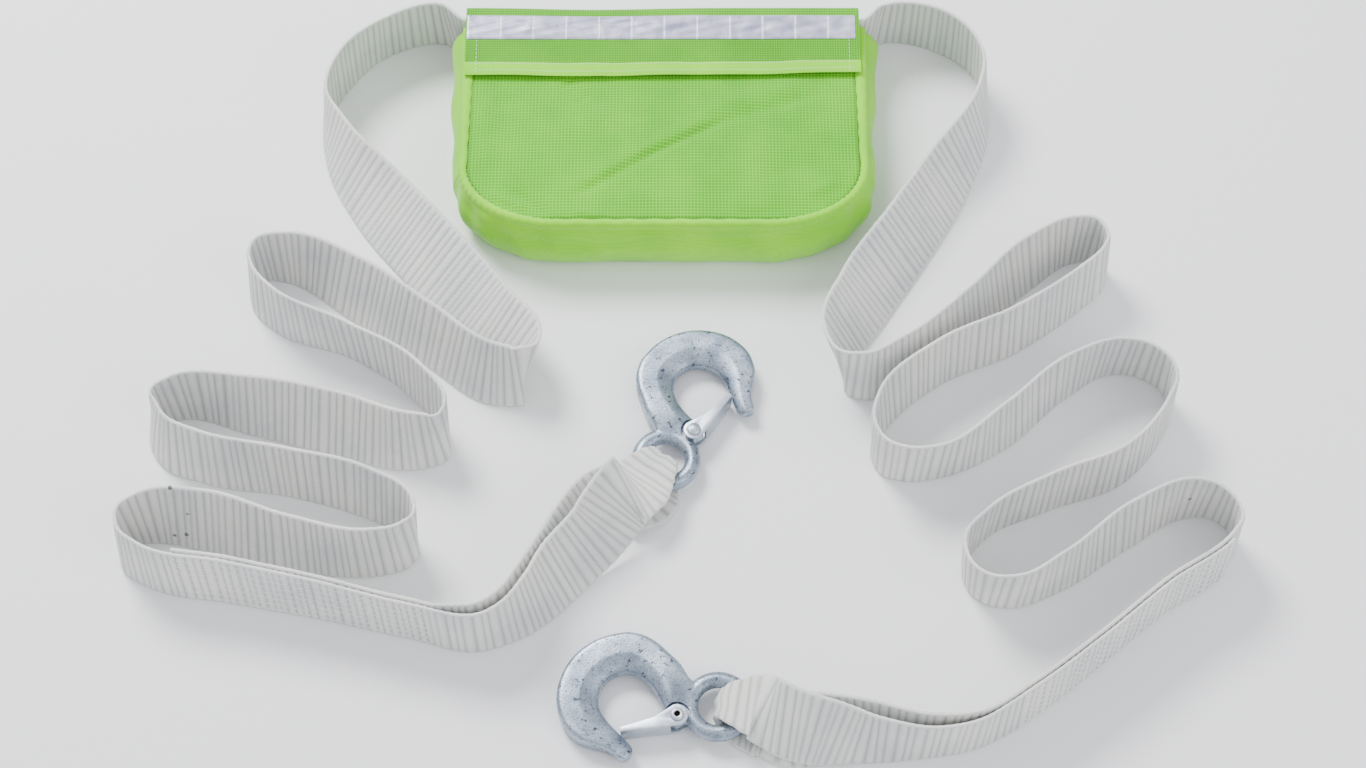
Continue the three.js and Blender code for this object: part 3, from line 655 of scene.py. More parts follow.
def stitches(name, lines, pitch, length, radius, material):
    """Stitches at an even pitch along the lines, made with Geometry Nodes."""
    mesh = bpy.data.meshes.new(name)
    points = [tuple(p) for line in lines for p in line]
    edges = []
    start = 0
    for line in lines:
        edges += [(start + i, start + i + 1) for i in range(len(line) - 1)]
        start += len(line)
    mesh.from_pydata(points, edges, [])
    piece = bpy.data.objects.new(name, mesh)
    bpy.context.scene.collection.objects.link(piece)

    tree = bpy.data.node_groups.new(name, "GeometryNodeTree")
    face = tree.interface
    face.new_socket(name="Seam lines", in_out="INPUT", socket_type="NodeSocketGeometry")
    sockets = {}
    for label, value in (
        ("Stitch pitch", pitch),
        ("Stitch length", length),
        ("Thread radius", radius),
    ):
        socket = face.new_socket(name=label, in_out="INPUT", socket_type="NodeSocketFloat")
        sockets[socket.identifier] = value * MM
    finish = face.new_socket(name="Thread", in_out="INPUT", socket_type="NodeSocketMaterial")
    face.new_socket(name="Stitches", in_out="OUTPUT", socket_type="NodeSocketGeometry")
    given = add(tree, "NodeGroupInput").outputs
    curve = add(tree, "GeometryNodeMeshToCurve", {"Mesh": given["Seam lines"]})
    spots = add(
        tree,
        "GeometryNodeCurveToPoints",
        {"Curve": curve.outputs["Curve"], "Length": given["Stitch pitch"]},
        mode="LENGTH",
    )
    thread = add(
        tree, "GeometryNodeMeshUVSphere", {"Segments": 6, "Rings": 5, "Radius": 1.0}
    )
    half = add(
        tree,
        "ShaderNodeMath",
        {0: given["Stitch length"], 1: 0.5},
        operation="MULTIPLY",
    )
    size = add(
        tree,
        "ShaderNodeCombineXYZ",
        {"X": given["Thread radius"], "Y": given["Thread radius"], "Z": half.outputs[0]},
    )
    placed = add(
        tree,
        "GeometryNodeInstanceOnPoints",
        {
            "Points": spots.outputs["Points"],
            "Instance": thread.outputs["Mesh"],
            "Rotation": spots.outputs["Rotation"],
            "Scale": size.outputs["Vector"],
        },
    )
    real = add(tree, "GeometryNodeRealizeInstances", {"Geometry": placed.outputs["Instances"]})
    dressed = add(
        tree,
        "GeometryNodeSetMaterial",
        {"Geometry": real.outputs["Geometry"], "Material": given["Thread"]},
    )
    add(tree, "NodeGroupOutput", {"Stitches": dressed.outputs["Geometry"]})
    modifier = piece.modifiers.new("stitches", "NODES")
    modifier.node_group = tree
    for identifier, value in sockets.items():
        modifier[identifier] = value
    modifier[finish.identifier] = material
    applied(piece)
    piece.data.polygons.foreach_set("use_smooth", [True] * len(piece.data.polygons))
    return piece


def zigzag_rows(path, start, stop, side, rise):
    lines = []
    for row in ROWS:
        line = []
        for here in path:
            if not start <= here["run"] <= stop:
                continue
            phase = (here["run"] - start) / ZIGZAG_STEP
            shift = ZIGZAG * (1 - 4 * abs(phase % 1 - 0.5))
            place = here["middle"] + here["across"] * (row + shift)
            line.append((place + here["normal"] * side * rise) * MM)
        lines.append(line)
    return lines


near_face = WEB_THICK / 2 + 0.08
sewn_lines = zigzag_rows(main_length, left_seam[1] + 6, left_seam[0] - 4, -1, near_face)
sewn_lines += zigzag_rows(main_length, left_seam[1] + 6, left_seam[0] - 4, 1, near_face + 3.1)
sewn_lines += zigzag_rows(main_length, right_seam[0] + 4, right_seam[1] - 6, -1, near_face + 3.1)
sewn_lines += zigzag_rows(main_length, right_seam[0] + 4, right_seam[1] - 6, 1, near_face)
seam_thread = stitches(
    "seam_stitches", sewn_lines, STITCH_PITCH, STITCH_LENGTH, THREAD_RADIUS, thread_material
)
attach(seam_thread, "strap_and_bag")

# Hooks: steel forgings with a round bar bent to an eye and a flat, broad hook, zinc
# plated. The cheeks of the latch sit in two round seats beside the pin's bore.
PIN = (23.7, -7.2)
PIN_RADIUS = 2.6
BORE_CLEAR = 0.3
BOSS_THICK = 5.2
SEAT_RADIUS = 8.2
# From the eye to the tip: inner x and y, outer x and y, thickness.
HOOK_STATIONS = [
    (19.0, -10.5, 11.0, 13.0, 8.6), (24.5, -13.4, 16.2, 16.4, 11.5),
    (30.0, -9.0, 22.0, 25.5, 14.5), (32.0, -2.2, 28.7, 32.2, 15.5),
    (35.2, 5.6, 35.4, 38.6, 15.5), (39.6, 12.6, 42.6, 43.0, 15.5),
    (46.2, 18.4, 49.4, 44.9, 15.5), (53.3, 20.3, 56.0, 45.1, 15.5),
    (60.2, 18.8, 70.7, 41.2, 15.5), (65.9, 14.4, 83.9, 31.5, 15.5),
    (68.9, 9.0, 92.0, 18.0, 15.5), (69.7, 3.2, 94.4, 3.0, 15.5),
    (68.6, -2.6, 90.5, -11.5, 15.0), (64.6, -8.8, 81.0, -21.4, 14.0),
    (60.6, -13.2, 71.6, -24.8, 12.4), (57.1, -17.0, 65.4, -26.8, 10.8),
    (53.5, -20.8, 61.0, -29.2, 9.6), (50.6, -24.2, 58.0, -31.8, 8.8),
    (49.6, -27.4, 55.6, -33.0, 7.6), (50.6, -30.2, 53.4, -32.8, 4.6),
]
# Through the bar: share of the way from the inner to the outer edge, share of the
# half thickness. The inner edge has a broad forged bevel.
HOOK_PROFILE = [
    (0.0, 0.0), (0.004, 0.2), (0.03, 0.42), (0.1, 0.62), (0.22, 0.8), (0.34, 0.93),
    (0.44, 1.0), (0.62, 1.0), (0.8, 1.0), (0.9, 0.985), (0.955, 0.9), (0.985, 0.76),
    (1.0, 0.55), (1.0, 0.25),
]


def smooth_point(points, share):
    """A point of the smooth line through the points, share from 0 to 1."""
    place = share * (len(points) - 1)
    i = min(int(place), len(points) - 2)
    t = place - i
    rows = (points[max(i - 1, 0)], points[i], points[i + 1], points[min(i + 2, len(points) - 1)])
    return [
        0.5 * (2 * b + (c - a) * t + (2 * a - 5 * b + 4 * c - d) * t**2 + (3 * b - a - 3 * c + d) * t**3)
        for a, b, c, d in zip(*rows)
    ]


def joined_rings(rings):
    sides = len(rings[0])
    vertices = [p for ring in rings for p in ring]
    faces = []
    for i in range(len(rings) - 1):
        for j in range(sides):
            k = (j + 1) % sides
            faces.append((i * sides + j, i * sides + k, (i + 1) * sides + k, (i + 1) * sides + j))
    faces.append(tuple(range(sides))[::-1])
    faces.append(tuple(range((len(rings) - 1) * sides, len(rings) * sides)))
    return vertices, faces


def turned_profile(profile, centre, sides):
    """A closed round solid about the pin's line from (radius, height) points."""
    vertices = []
    faces = []
    for radius, height in profile:
        for k in range(sides):
            angle = 2 * math.pi * k / sides
            vertices.append(
                (centre[0] + radius * math.cos(angle), centre[1] + radius * math.sin(angle), height)
            )
    for i in range(len(profile) - 1):
        for k in range(sides):
            n = (k + 1) % sides
            faces.append((i * sides + k, i * sides + n, (i + 1) * sides + n, (i + 1) * sides + k))
    faces.append(tuple(range(sides))[::-1])
    faces.append(tuple(range((len(profile) - 1) * sides, len(profile) * sides)))
    return vertices, faces


def placed_on_floor(eye, heading, flipped):
    """Where a hook's own frame lies: eye centre, heading, and which face is up."""
    return (
        Matrix.Translation(Vector((eye[0], eye[1], EYE_HEIGHT)) * MM)
        @ Matrix.Rotation(math.radians(heading), 4, "Z")
        @ Matrix.Rotation(math.radians(HOOK_TILT), 4, "Y")
        @ Matrix.Rotation(math.pi if flipped else 0, 4, "X")
        @ Matrix.Scale(MM, 4)
    )


SIDES = {
    "left": (placed_on_floor(LEFT_EYE, LEFT_HEADING, False), "left_hook_body", "left_latch_body"),
    "right": (placed_on_floor(RIGHT_EYE, RIGHT_HEADING, True), "right_hook_body", "right_latch_body"),
}


def cut(piece, vertices, faces, operation="DIFFERENCE"):
    tool = new_mesh("tool", vertices, faces, piece.data.materials[0])
    facing_out(tool.data)
    modifier = piece.modifiers.new("cut", "BOOLEAN")
    modifier.operation = operation
    modifier.solver = "EXACT"
    modifier.object = tool
    applied(piece)
    bpy.data.objects.remove(tool)


def disc(centre, radius, low, high, sides=48):
    return turned_profile([(radius, low), (radius, high)], centre, sides)


def finished(piece, matrix, sharp_degrees):
    """Puts the piece's own frame where it lies and gives it its edges."""
    piece.data.transform(matrix)
    facing_out(piece.data)
    piece.data.set_sharp_from_angle(angle=math.radians(sharp_degrees))
    return piece


# Zinc plate on a forging: a blue-grey metal with a soft gloss, faintly clouded and
# pitted, with fine scratches and darker soil where hands and road do not rub it.
zinc_material, tree, shader = new_material("zinc plated forged steel")
place = add(tree, "ShaderNodeTexCoord").outputs["Object"]
# Scales are per metre: 14 mm clouds of tone, 1.1 mm grit, 2.4 mm scratches, 3 mm pits.
cloud = add(tree, "ShaderNodeTexNoise", {"Vector": place, "Scale": 70, "Detail": 6}).outputs["Fac"]
grit = add(tree, "ShaderNodeTexNoise", {"Vector": place, "Scale": 900, "Detail": 4}).outputs["Fac"]
drawn = add(tree, "ShaderNodeMapping", {"Vector": place, "Scale": (1, 9, 1), "Rotation": (0, 0, 0.6)})
scratch = add(
    tree, "ShaderNodeTexNoise", {"Vector": drawn.outputs["Vector"], "Scale": 420, "Detail": 3}
).outputs["Fac"]
tone = add(
    tree,
    "ShaderNodeValToRGB",
    {"Fac": cloud},
    stops=[(0.3, "7f8b9a"), (0.5, "a0acba"), (0.7, "bcc7d2")],
).outputs["Color"]
soil = add(
    tree,
    "ShaderNodeValToRGB",
    {"Fac": grit},
    stops=[(0.3, "6f7885"), (0.46, "dfe3e8"), (0.75, "ffffff")],
).outputs["Color"]
zinc_colour = add(
    tree,
    "ShaderNodeMix",
    {"Factor": 0.7, "A": tone, "B": soil},
    data_type="RGBA",
    blend_type="MULTIPLY",
)
pits = add(tree, "ShaderNodeTexNoise", {"Vector": place, "Scale": 330, "Detail": 5}).outputs["Fac"]
pitted = add(
    tree,
    "ShaderNodeValToRGB",
    {"Fac": pits},
    stops=[(0.33, "3f454c"), (0.39, "ffffff"), (0.9, "ffffff")],
).outputs["Color"]
nicked_colour = add(
    tree,
    "ShaderNodeMix",
    {"Factor": 0.8, "A": zinc_colour.outputs["Result"], "B": pitted},
    data_type="RGBA",
    blend_type="MULTIPLY",
)
tree.links.new(nicked_colour.outputs["Result"], shader.inputs["Base Color"])
shader.inputs["Metallic"].default_value = 0.85
tree.links.new(
    add(
        tree,
        "ShaderNodeValToRGB",
        {"Fac": scratch},
        stops=[(0.35, 0.3), (0.65, 0.5)],
    ).outputs["Color"],
    shader.inputs["Roughness"],
)
bump = add(
    tree,
    "ShaderNodeBump",
    {
        "Strength": 0.35,
        "Distance": 0.0003,
        "Height": add(
            tree,
            "ShaderNodeMath",
            {
                0: scratch,
                1: 0.4,
                2: add(tree, "ShaderNodeMath", {0: grit, 1: 1.0}, operation="MULTIPLY").outputs[0],
            },
            operation="MULTIPLY_ADD",
        ).outputs[0],
    },
)
tree.links.new(bump.outputs["Normal"], shader.inputs["Normal"])

HOOK_STEPS = 160
hook_outline = HOOK_PROFILE + [(a, -z) for a, z in HOOK_PROFILE[:0:-1]]
for side, (matrix, hook_body, latch_body) in SIDES.items():
    rings = []
    for i in range(HOOK_STEPS + 1):
        ix, iy, ox, oy, thick = smooth_point(HOOK_STATIONS, i / HOOK_STEPS)
        rings.append(
            [(ix + (ox - ix) * a, iy + (oy - iy) * a, z * thick / 2) for a, z in hook_outline]
        )
    vertices, faces = joined_rings(rings)
    start = len(vertices)
    around, through = 96, 36
    for i in range(around):
        turn = 2 * math.pi * i / around
        for j in range(through):
            angle = 2 * math.pi * j / through
            reach = EYE_RADIUS + EYE_BAR * math.cos(angle)
            vertices.append(
                (reach * math.cos(turn), reach * math.sin(turn), EYE_BAR * math.sin(angle))
            )
    for i in range(around):
        for j in range(through):
            a = start + i * through
            b = start + (i + 1) % around * through
            k = (j + 1) % through
            faces.append((a + j, b + j, b + k, a + k))
    hook = new_mesh(f"{side}_forged_hook", vertices, faces, zinc_material)
    remesh = hook.modifiers.new("forging", "REMESH")
    remesh.mode = "VOXEL"
    remesh.voxel_size = 0.55
    soften = hook.modifiers.new("forged edges", "SMOOTH")
    soften.factor = 0.5
    soften.iterations = 6
    applied(hook)
    seat = BOSS_THICK / 2
    cut(hook, *disc(PIN, SEAT_RADIUS, seat, seat + 10))
    cut(hook, *disc(PIN, SEAT_RADIUS, -seat - 10, -seat))
    cut(hook, *disc(PIN, PIN_RADIUS + BORE_CLEAR, -12, 12))
    finished(hook, matrix, 40)
    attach(hook, hook_body)
    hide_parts(f"{side}_hook")

# Latches: each is one pressed channel of 1.6 mm sheet steel, zinc plated, its round
# head on the pin and its blunt end against the hook's tip.
LATCH_SHEET = 1.6
LATCH_INNER = 11.2
LATCH_HEAD = 6.4
LATCH_TIP = (56.4, -15.9)
LATCH_WAIST = (13, 2.2)

latch_material, tree, shader = new_material("zinc plated pressed sheet")
place = add(tree, "ShaderNodeTexCoord").outputs["Object"]
# Scales are per metre: 9 mm clouds of tone and 0.7 mm grit.
cloud = add(tree, "ShaderNodeTexNoise", {"Vector": place, "Scale": 110, "Detail": 5}).outputs["Fac"]
grit = add(tree, "ShaderNodeTexNoise", {"Vector": place, "Scale": 1400, "Detail": 3}).outputs["Fac"]
tone = add(
    tree,
    "ShaderNodeValToRGB",
    {"Fac": cloud},
    stops=[(0.3, "a9b4c0"), (0.55, "c3ccd6"), (0.75, "d3dae2")],
).outputs["Color"]
tree.links.new(tone, shader.inputs["Base Color"])
shader.inputs["Metallic"].default_value = 0.85
tree.links.new(
    add(
        tree,
        "ShaderNodeValToRGB",
        {"Fac": grit},
        stops=[(0.3, 0.3), (0.7, 0.45)],
    ).outputs["Color"],
    shader.inputs["Roughness"],
)
bump = add(tree, "ShaderNodeBump", {"Strength": 0.2, "Distance": 0.0002, "Height": grit})
tree.links.new(bump.outputs["Normal"], shader.inputs["Normal"])

latch_heading = math.atan2(LATCH_TIP[1] - PIN[1], LATCH_TIP[0] - PIN[0])
latch_along = Vector((math.cos(latch_heading), math.sin(latch_heading)))
latch_across = Vector((math.sin(latch_heading), -math.cos(latch_heading)))


def on_latch(along, out):
    place = Vector(PIN) + latch_along * along + latch_across * out
    return (place.x, place.y)


def plate(outline, low, high):
    count = len(outline)
    vertices = [(x, y, low) for x, y in outline] + [(x, y, high) for x, y in outline]
    faces = [tuple(range(count))[::-1], tuple(range(count, 2 * count))]
    faces += [(i, (i + 1) % count, count + (i + 1) % count, count + i) for i in range(count)]
    return vertices, faces


latch_outline = [
    (
        PIN[0] + LATCH_HEAD * math.cos(latch_heading + math.radians(degrees)),
        PIN[1] + LATCH_HEAD * math.sin(latch_heading + math.radians(degrees)),
    )
    for degrees in range(80, 281, 5)
]
for out in (1.6, 1.2, -1.0, -1.4):
    nib = 0.5 if abs(out) < 1.3 else 0
    latch_outline.append(
        (
            LATCH_TIP[0] + latch_across.x * out + latch_along.x * nib,
            LATCH_TIP[1] + latch_across.y * out + latch_along.y * nib,
        )
    )
latch_outline.append(on_latch(LATCH_WAIST[0], -LATCH_WAIST[1]))


def web_line(along):
    return LATCH_HEAD * 0.985 + (1.6 - LATCH_HEAD * 0.985) / 34 * along - LATCH_SHEET


hollow = [
    on_latch(-12, -12), on_latch(-12, 12), on_latch(5.5, 12),
    on_latch(5.5, web_line(5.5)), on_latch(37, web_line(37)), on_latch(37, -12),
]
for side, (matrix, hook_body, latch_body) in SIDES.items():
    outer = LATCH_INNER / 2 + LATCH_SHEET
    latch = new_mesh(f"{side}_pressed_latch", *plate(latch_outline, -outer, outer), latch_material)
    facing_out(latch.data)
    cut(latch, *plate(hollow, -LATCH_INNER / 2, LATCH_INNER / 2))
    cut(latch, *disc(PIN, PIN_RADIUS + BORE_CLEAR, -12, 12))
    rounding = latch.modifiers.new("pressed edges", "BEVEL")
    rounding.width = 0.4
    rounding.segments = 3
    rounding.limit_method = "ANGLE"
    rounding.angle_limit = math.radians(35)
    applied(latch)
    finished(latch, matrix, 50)
    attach(latch, latch_body)
    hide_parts(f"{side}_latch")

# Rivets: tubular steel rivets through latch and boss, with a domed factory head on one
# cheek and a tail that is flared over the other.
PIN_PROFILE_TOP = [
    (0.05, 1.8), (1.2, 1.76), (1.9, 1.66), (2.2, 1.4), (3.0, 1.25), (3.7, 0.9), (4.15, 0.45), (4.3, 0.0),
]
PIN_PROFILE_TAIL = [
    (4.0, 0.0), (4.05, -0.35), (3.85, -0.8), (3.3, -1.25), (2.7, -1.5), (2.2, -1.45), (1.8, -1.2),
    (1.7, -0.8), (1.7, 2.5), (0.05, 2.5),
]
# Painted shade: the inside of the rivet's open tail is coloured a dull, nearly black brown.
rivet_tail_shade_material, tree, shader = new_material("painted shade in the rivet's open tail")
shader.inputs["Base Color"].default_value = hex_colour("3d342d")
shader.inputs["Roughness"].default_value = 0.7
for side, (matrix, hook_body, latch_body) in SIDES.items():
    cheek = LATCH_INNER / 2 + LATCH_SHEET + BORE_CLEAR
    profile = [(r, cheek + z) for r, z in PIN_PROFILE_TOP]
    profile += [(PIN_RADIUS, cheek), (PIN_RADIUS, -cheek)]
    profile += [(r, z - cheek) for r, z in PIN_PROFILE_TAIL]
    pin = new_mesh(f"{side}_rivet", *turned_profile(profile, PIN, 48), latch_material)
    pin.data.materials.append(rivet_tail_shade_material)
    # Faces inside the open tail take the painted shade.
    for face in pin.data.polygons:
        reach = math.hypot(face.center.x - PIN[0], face.center.y - PIN[1])
        if reach < 1.76 and face.center.z < 0:
            face.material_index = 1
    finished(pin, matrix, 40)
    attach(pin, hook_body)
    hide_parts(f"{side}_latch_pin")

# Springs: bright drawn wire, 0.9 mm, wound one and a half turns round the rivet
# inside the latch, with its leg against the inside of the latch's web.
SPRING_WIRE = 0.45
SPRING_COIL = 4.1

wire_material, tree, shader = new_material("bright drawn spring wire")
shader.inputs["Base Color"].default_value = hex_colour("9ba1a8")
shader.inputs["Metallic"].default_value = 1.0
place = add(tree, "ShaderNodeTexCoord").outputs["Object"]
# The scale is per metre: 0.6 mm grit on the drawn wire.
grit = add(tree, "ShaderNodeTexNoise", {"Vector": place, "Scale": 1800, "Detail": 2}).outputs["Fac"]
tree.links.new(
    add(
        tree,
        "ShaderNodeValToRGB",
        {"Fac": grit},
        stops=[(0.3, 0.2), (0.7, 0.38)],
    ).outputs["Color"],
    shader.inputs["Roughness"],
)

for side, (matrix, hook_body, latch_body) in SIDES.items():
    low = BOSS_THICK / 2 + BORE_CLEAR + SPRING_WIRE
    high = LATCH_INNER / 2 - BORE_CLEAR - SPRING_WIRE
    wire_points = [(PIN[0] + 9.6, PIN[1] + 3.4, low)]
    for i in range(37):
        angle = math.radians(40 + i / 36 * 540)
        wire_points.append(
            (
                PIN[0] + SPRING_COIL * math.cos(angle),
                PIN[1] + SPRING_COIL * math.sin(angle),
                low + i / 36 * (high - low),
            )
        )
    line = [Vector(smooth_point(wire_points, i / 180)) for i in range(181)]
    rings = []
    for i, middle in enumerate(line):
        heading = (line[min(i + 1, 180)] - line[max(i - 1, 0)]).normalized()
        out = Vector((0, 0, 1)).cross(heading).normalized()
        up = heading.cross(out)
        rings.append(
            [
                middle
                + out * SPRING_WIRE * math.cos(2 * math.pi * j / 10)
                + up * SPRING_WIRE * math.sin(2 * math.pi * j / 10)
                for j in range(10)
            ]
        )
    spring = new_mesh(f"{side}_wire_spring", *joined_rings(rings), wire_material)
    finished(spring, matrix, 50)
    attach(spring, hook_body)
    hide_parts(f"{side}_latch_spring")

# Bag, front panel: one piece of lime grid-woven polyester, cut with round near corners
# and sewn into the gusset. It lies slack over the webbing, with one long crease.
CLOTH = 1.2
BAG_HALF = 129
BAG_NEAR = -84
BAG_CORNER = 42
BAG_CORNER_WIDTH = 62
BAG_TOP = 46
GUSSET_END = 69
GUSSET_BULGE = 12
PANEL_MOUTH = 55
GRID_PITCH = 2.2
# Each crease: x and y of its two ends, how far it rises or sinks, and its width.
PANEL_CREASES = [
    (-56, -64, -4, -30, -1.2, 3.6), (-14, -36, 40, -6, -1.3, 3.0), (-50, -54, 30, -3, 1.0, 7),
    (30, -10, 100, 14, -0.7, 4.5), (24, 2, 92, 24, 0.7, 6), (-70, -20, -30, 6, 0.6, 8),
    (-112, -62, -86, -74, 0.8, 3.5), (-100, -60, -72, -79, -0.7, 4), (-118, 12, -112, -44, 0.7, 6),
    (-106, 14, -98, -30, -0.5, 7), (-66, 26, -50, 8, -0.8, 6), (-26, -64, 26, -71, 0.5, 7),
    (60, -52, 104, -34, -0.6, 8), (84, 10, 108, -22, 0.5, 7), (-58, -76, -34, -81, 0.5, 3),
    (44, -78, 78, -76, -0.5, 4), (92, -64, 112, -52, 0.6, 4),
]


def creased(x, y, creases):
    total = 0
    for ax, ay, bx, by, rise, width in creases:
        run = Vector((bx - ax, by - ay))
        share = max(0, min(1, Vector((x - ax, y - ay)).dot(run) / run.length_squared))
        gap = math.hypot(x - ax - run.x * share, y - ay - run.y * share)
        fade = min(1, 5 * share + 0.15, 5 * (1 - share) + 0.15)
        total += rise * fade * math.exp(-((gap / width) ** 2))
    return total


def half_width(y):
    into = y - BAG_NEAR
    if into >= BAG_CORNER:
        return BAG_HALF
    rest = 1 - max(into, 0) / BAG_CORNER
    return BAG_HALF - BAG_CORNER_WIDTH * (1 - math.sqrt(1 - rest**2))


def cloth_piece(name, grid, thickness, material):
    """A sheet of cloth of even thickness on a grid of points of its middle."""
    columns = len(grid[0])
    vertices = [p * MM for row in grid for p in row]
    faces = [
        (r * columns + c, r * columns + c + 1, (r + 1) * columns + c + 1, (r + 1) * columns + c)
        for r in range(len(grid) - 1)
        for c in range(columns - 1)
    ]
    piece = new_mesh(name, vertices, faces, material)
    wall = piece.modifiers.new("cloth", "SOLIDIFY")
    wall.thickness = thickness * MM
    wall.offset = 0
    applied(piece)
    facing_out(piece.data)
    piece.data.set_sharp_from_angle(angle=math.radians(70))
    return piece


def weave_lines(tree, place, pitch, sharpness):
    """1 on the lines of a square grid of that pitch, 0 in its cells."""
    parts = add(tree, "ShaderNodeSeparateXYZ", {"Vector": place}).outputs
    lines = []
    for axis in "XY":
        wave = add(
            tree,
            "ShaderNodeMath",
            {
                0: add(
                    tree,
                    "ShaderNodeMath",
                    {0: parts[axis], 1: 2 * math.pi / (pitch * MM)},
                    operation="MULTIPLY",
                ).outputs[0],
            },
            operation="COSINE",
        ).outputs[0]
        lines.append(
            add(
                tree,
                "ShaderNodeMath",
                {
                    0: add(
                        tree,
                        "ShaderNodeMath",
                        {0: wave, 1: 0.5, 2: 0.5},
                        operation="MULTIPLY_ADD",
                    ).outputs[0],
                    1: sharpness,
                },
                operation="POWER",
            ).outputs[0],
        )
    return add(tree, "ShaderNodeMath", dict(enumerate(lines)), operation="MAXIMUM").outputs[0]


def lime_cloth(name, dark, light, hollow, pitch, depth):
    """Lime polyester: threads of two tones, a soft cloud of wear, matt with a sheen, and painted shade
    darkening it towards a sewn edge where a piece carries seam_shade.
    """
    material, tree, shader = new_material(name)
    place = add(tree, "ShaderNodeTexCoord").outputs["Object"]
    lines = weave_lines(tree, place, pitch, 3)
    # Scales are per metre: the tone drifts over 33 mm, and thread fuzz is 0.7 mm.
    cloud = add(tree, "ShaderNodeTexNoise", {"Vector": place, "Scale": 30, "Detail": 4}).outputs["Fac"]
    fuzz = add(tree, "ShaderNodeTexNoise", {"Vector": place, "Scale": 1500, "Detail": 2}).outputs["Fac"]
    body = add(
        tree,
        "ShaderNodeValToRGB",
        {"Fac": cloud},
        stops=[(0.3, dark), (0.7, light)],
    ).outputs["Color"]
    cell = add(
        tree,
        "ShaderNodeValToRGB",
        {
            "Fac": add(
                tree,
                "ShaderNodeMath",
                {0: fuzz, 1: 0.35, 2: lines},
                operation="MULTIPLY_ADD",
            ).outputs[0],
        },
        stops=[(0.15, hollow), (0.75, "ffffff")],
    ).outputs["Color"]
    colour = add(
        tree,
        "ShaderNodeMix",
        {"Factor": 1.0, "A": body, "B": cell},
        data_type="RGBA",
        blend_type="MULTIPLY",
    )
    # Painted shade: the colour darkens towards dark green where seam_shade marks the sewn edge.
    seam = add(tree, "ShaderNodeAttribute", attribute_name="seam_shade").outputs["Fac"]
    seam_shadowed = add(
        tree,
        "ShaderNodeMix",
        {
            "Factor": add(
                tree,
                "ShaderNodeMath",
                {0: seam, 1: 0.6},
                operation="MULTIPLY",
            ).outputs[0],
            "A": colour.outputs["Result"],
            "B": hex_colour("2f5f12"),
        },
        data_type="RGBA",
    )
    tree.links.new(seam_shadowed.outputs["Result"], shader.inputs["Base Color"])
    shader.inputs["Roughness"].default_value = 0.75
    shader.inputs["Sheen Weight"].default_value = 0.2
    shader.inputs["Specular IOR Level"].default_value = 0.3
    bump = add(
        tree,
        "ShaderNodeBump",
        {
            "Strength": depth,
            "Distance": 0.0004,
            "Height": add(
                tree,
                "ShaderNodeMath",
                {0: fuzz, 1: 0.3, 2: lines},
                operation="MULTIPLY_ADD",
            ).outputs[0],
        },
    )
    tree.links.new(bump.outputs["Normal"], shader.inputs["Normal"])
    return material


panel_material = lime_cloth("grid-woven lime polyester", "5fbf06", "76d20e", "8fc070", GRID_PITCH, 0.5)


def panel_height(x, y, half):
    across = x / half
    to_mouth = (y - BAG_NEAR) / (PANEL_MOUTH - BAG_NEAR)
    dome = (1 - across**2) * math.sin(math.pi * min(to_mouth + 0.12, 1))
    from_edge = min(half - abs(x), (y - BAG_NEAR) * 1.0)
    sewn_down = -2.6 * math.exp(-((max(from_edge, 0) / 2.6) ** 2))
    return BAG_TOP + CLOTH / 2 + 0.3 + 1.6 * dome + sewn_down + 1.5 * creased(x, y, PANEL_CREASES)


PANEL_ROWS = 110
PANEL_COLUMNS = 150
grid = []
for r in range(PANEL_ROWS + 1):
    share = r / PANEL_ROWS
    y = BAG_NEAR + (PANEL_MOUTH - BAG_NEAR) * share ** 1.25
    half = half_width(y)
    xs = [half * (2 * c / PANEL_COLUMNS - 1) for c in range(PANEL_COLUMNS + 1)]
    grid.append([Vector((x, y, panel_height(x, y, half))) for x in xs])
front_panel = cloth_piece("front_panel", grid, CLOTH, panel_material)
# Painted shade along the panel's sewn edge, where the gusset's roll stands over it.
shade = []
for vertex in front_panel.data.vertices:
    x, y = vertex.co.x / MM, vertex.co.y / MM
    from_edge = min(half_width(y) - abs(x), y - BAG_NEAR)
    shade.append(math.exp(-((max(from_edge - 2.2, 0) / 1.6) ** 2)))
front_panel.data.attributes.new("seam_shade", "FLOAT", "POINT").data.foreach_set("value", shade)
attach(front_panel, "strap_and_bag")
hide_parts("bag_front_panel")

# Bag, back panel: the same cloth, lying on the floor under the webbing and turned up
# behind it to the fold of the flap.
BACK_LINE = [
    (BAG_NEAR, 0.65), (-40, 0.65), (0, 0.65), (40, 0.65), (62, 0.65), (72, 0.68), (75.6, 0.9),
    (77.6, 2.0), (78.7, 5), (79, 12), (79, 24), (79, 38), (79, 52.6),
]
grid = []
for r in range(121):
    y, z = smooth_point(BACK_LINE, r / 120)
    z = max(z, 0.65)
    half = half_width(y) - 2 * min(max((y - 70) / 8, 0), 1)
    row = []
    for c in range(101):
        x = half * (2 * c / 100 - 1)
        belly = 0.5 * math.sin(x / 23 + z / 9) * min(max((z - 6) / 20, 0), 1)
        row.append(Vector((x, y + belly * 0.6 - 0.1, z)))
    grid.append(row)
back_panel = cloth_piece("back_panel", grid, CLOTH, panel_material)
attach(back_panel, "strap_and_bag")
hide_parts("bag_back_panel")

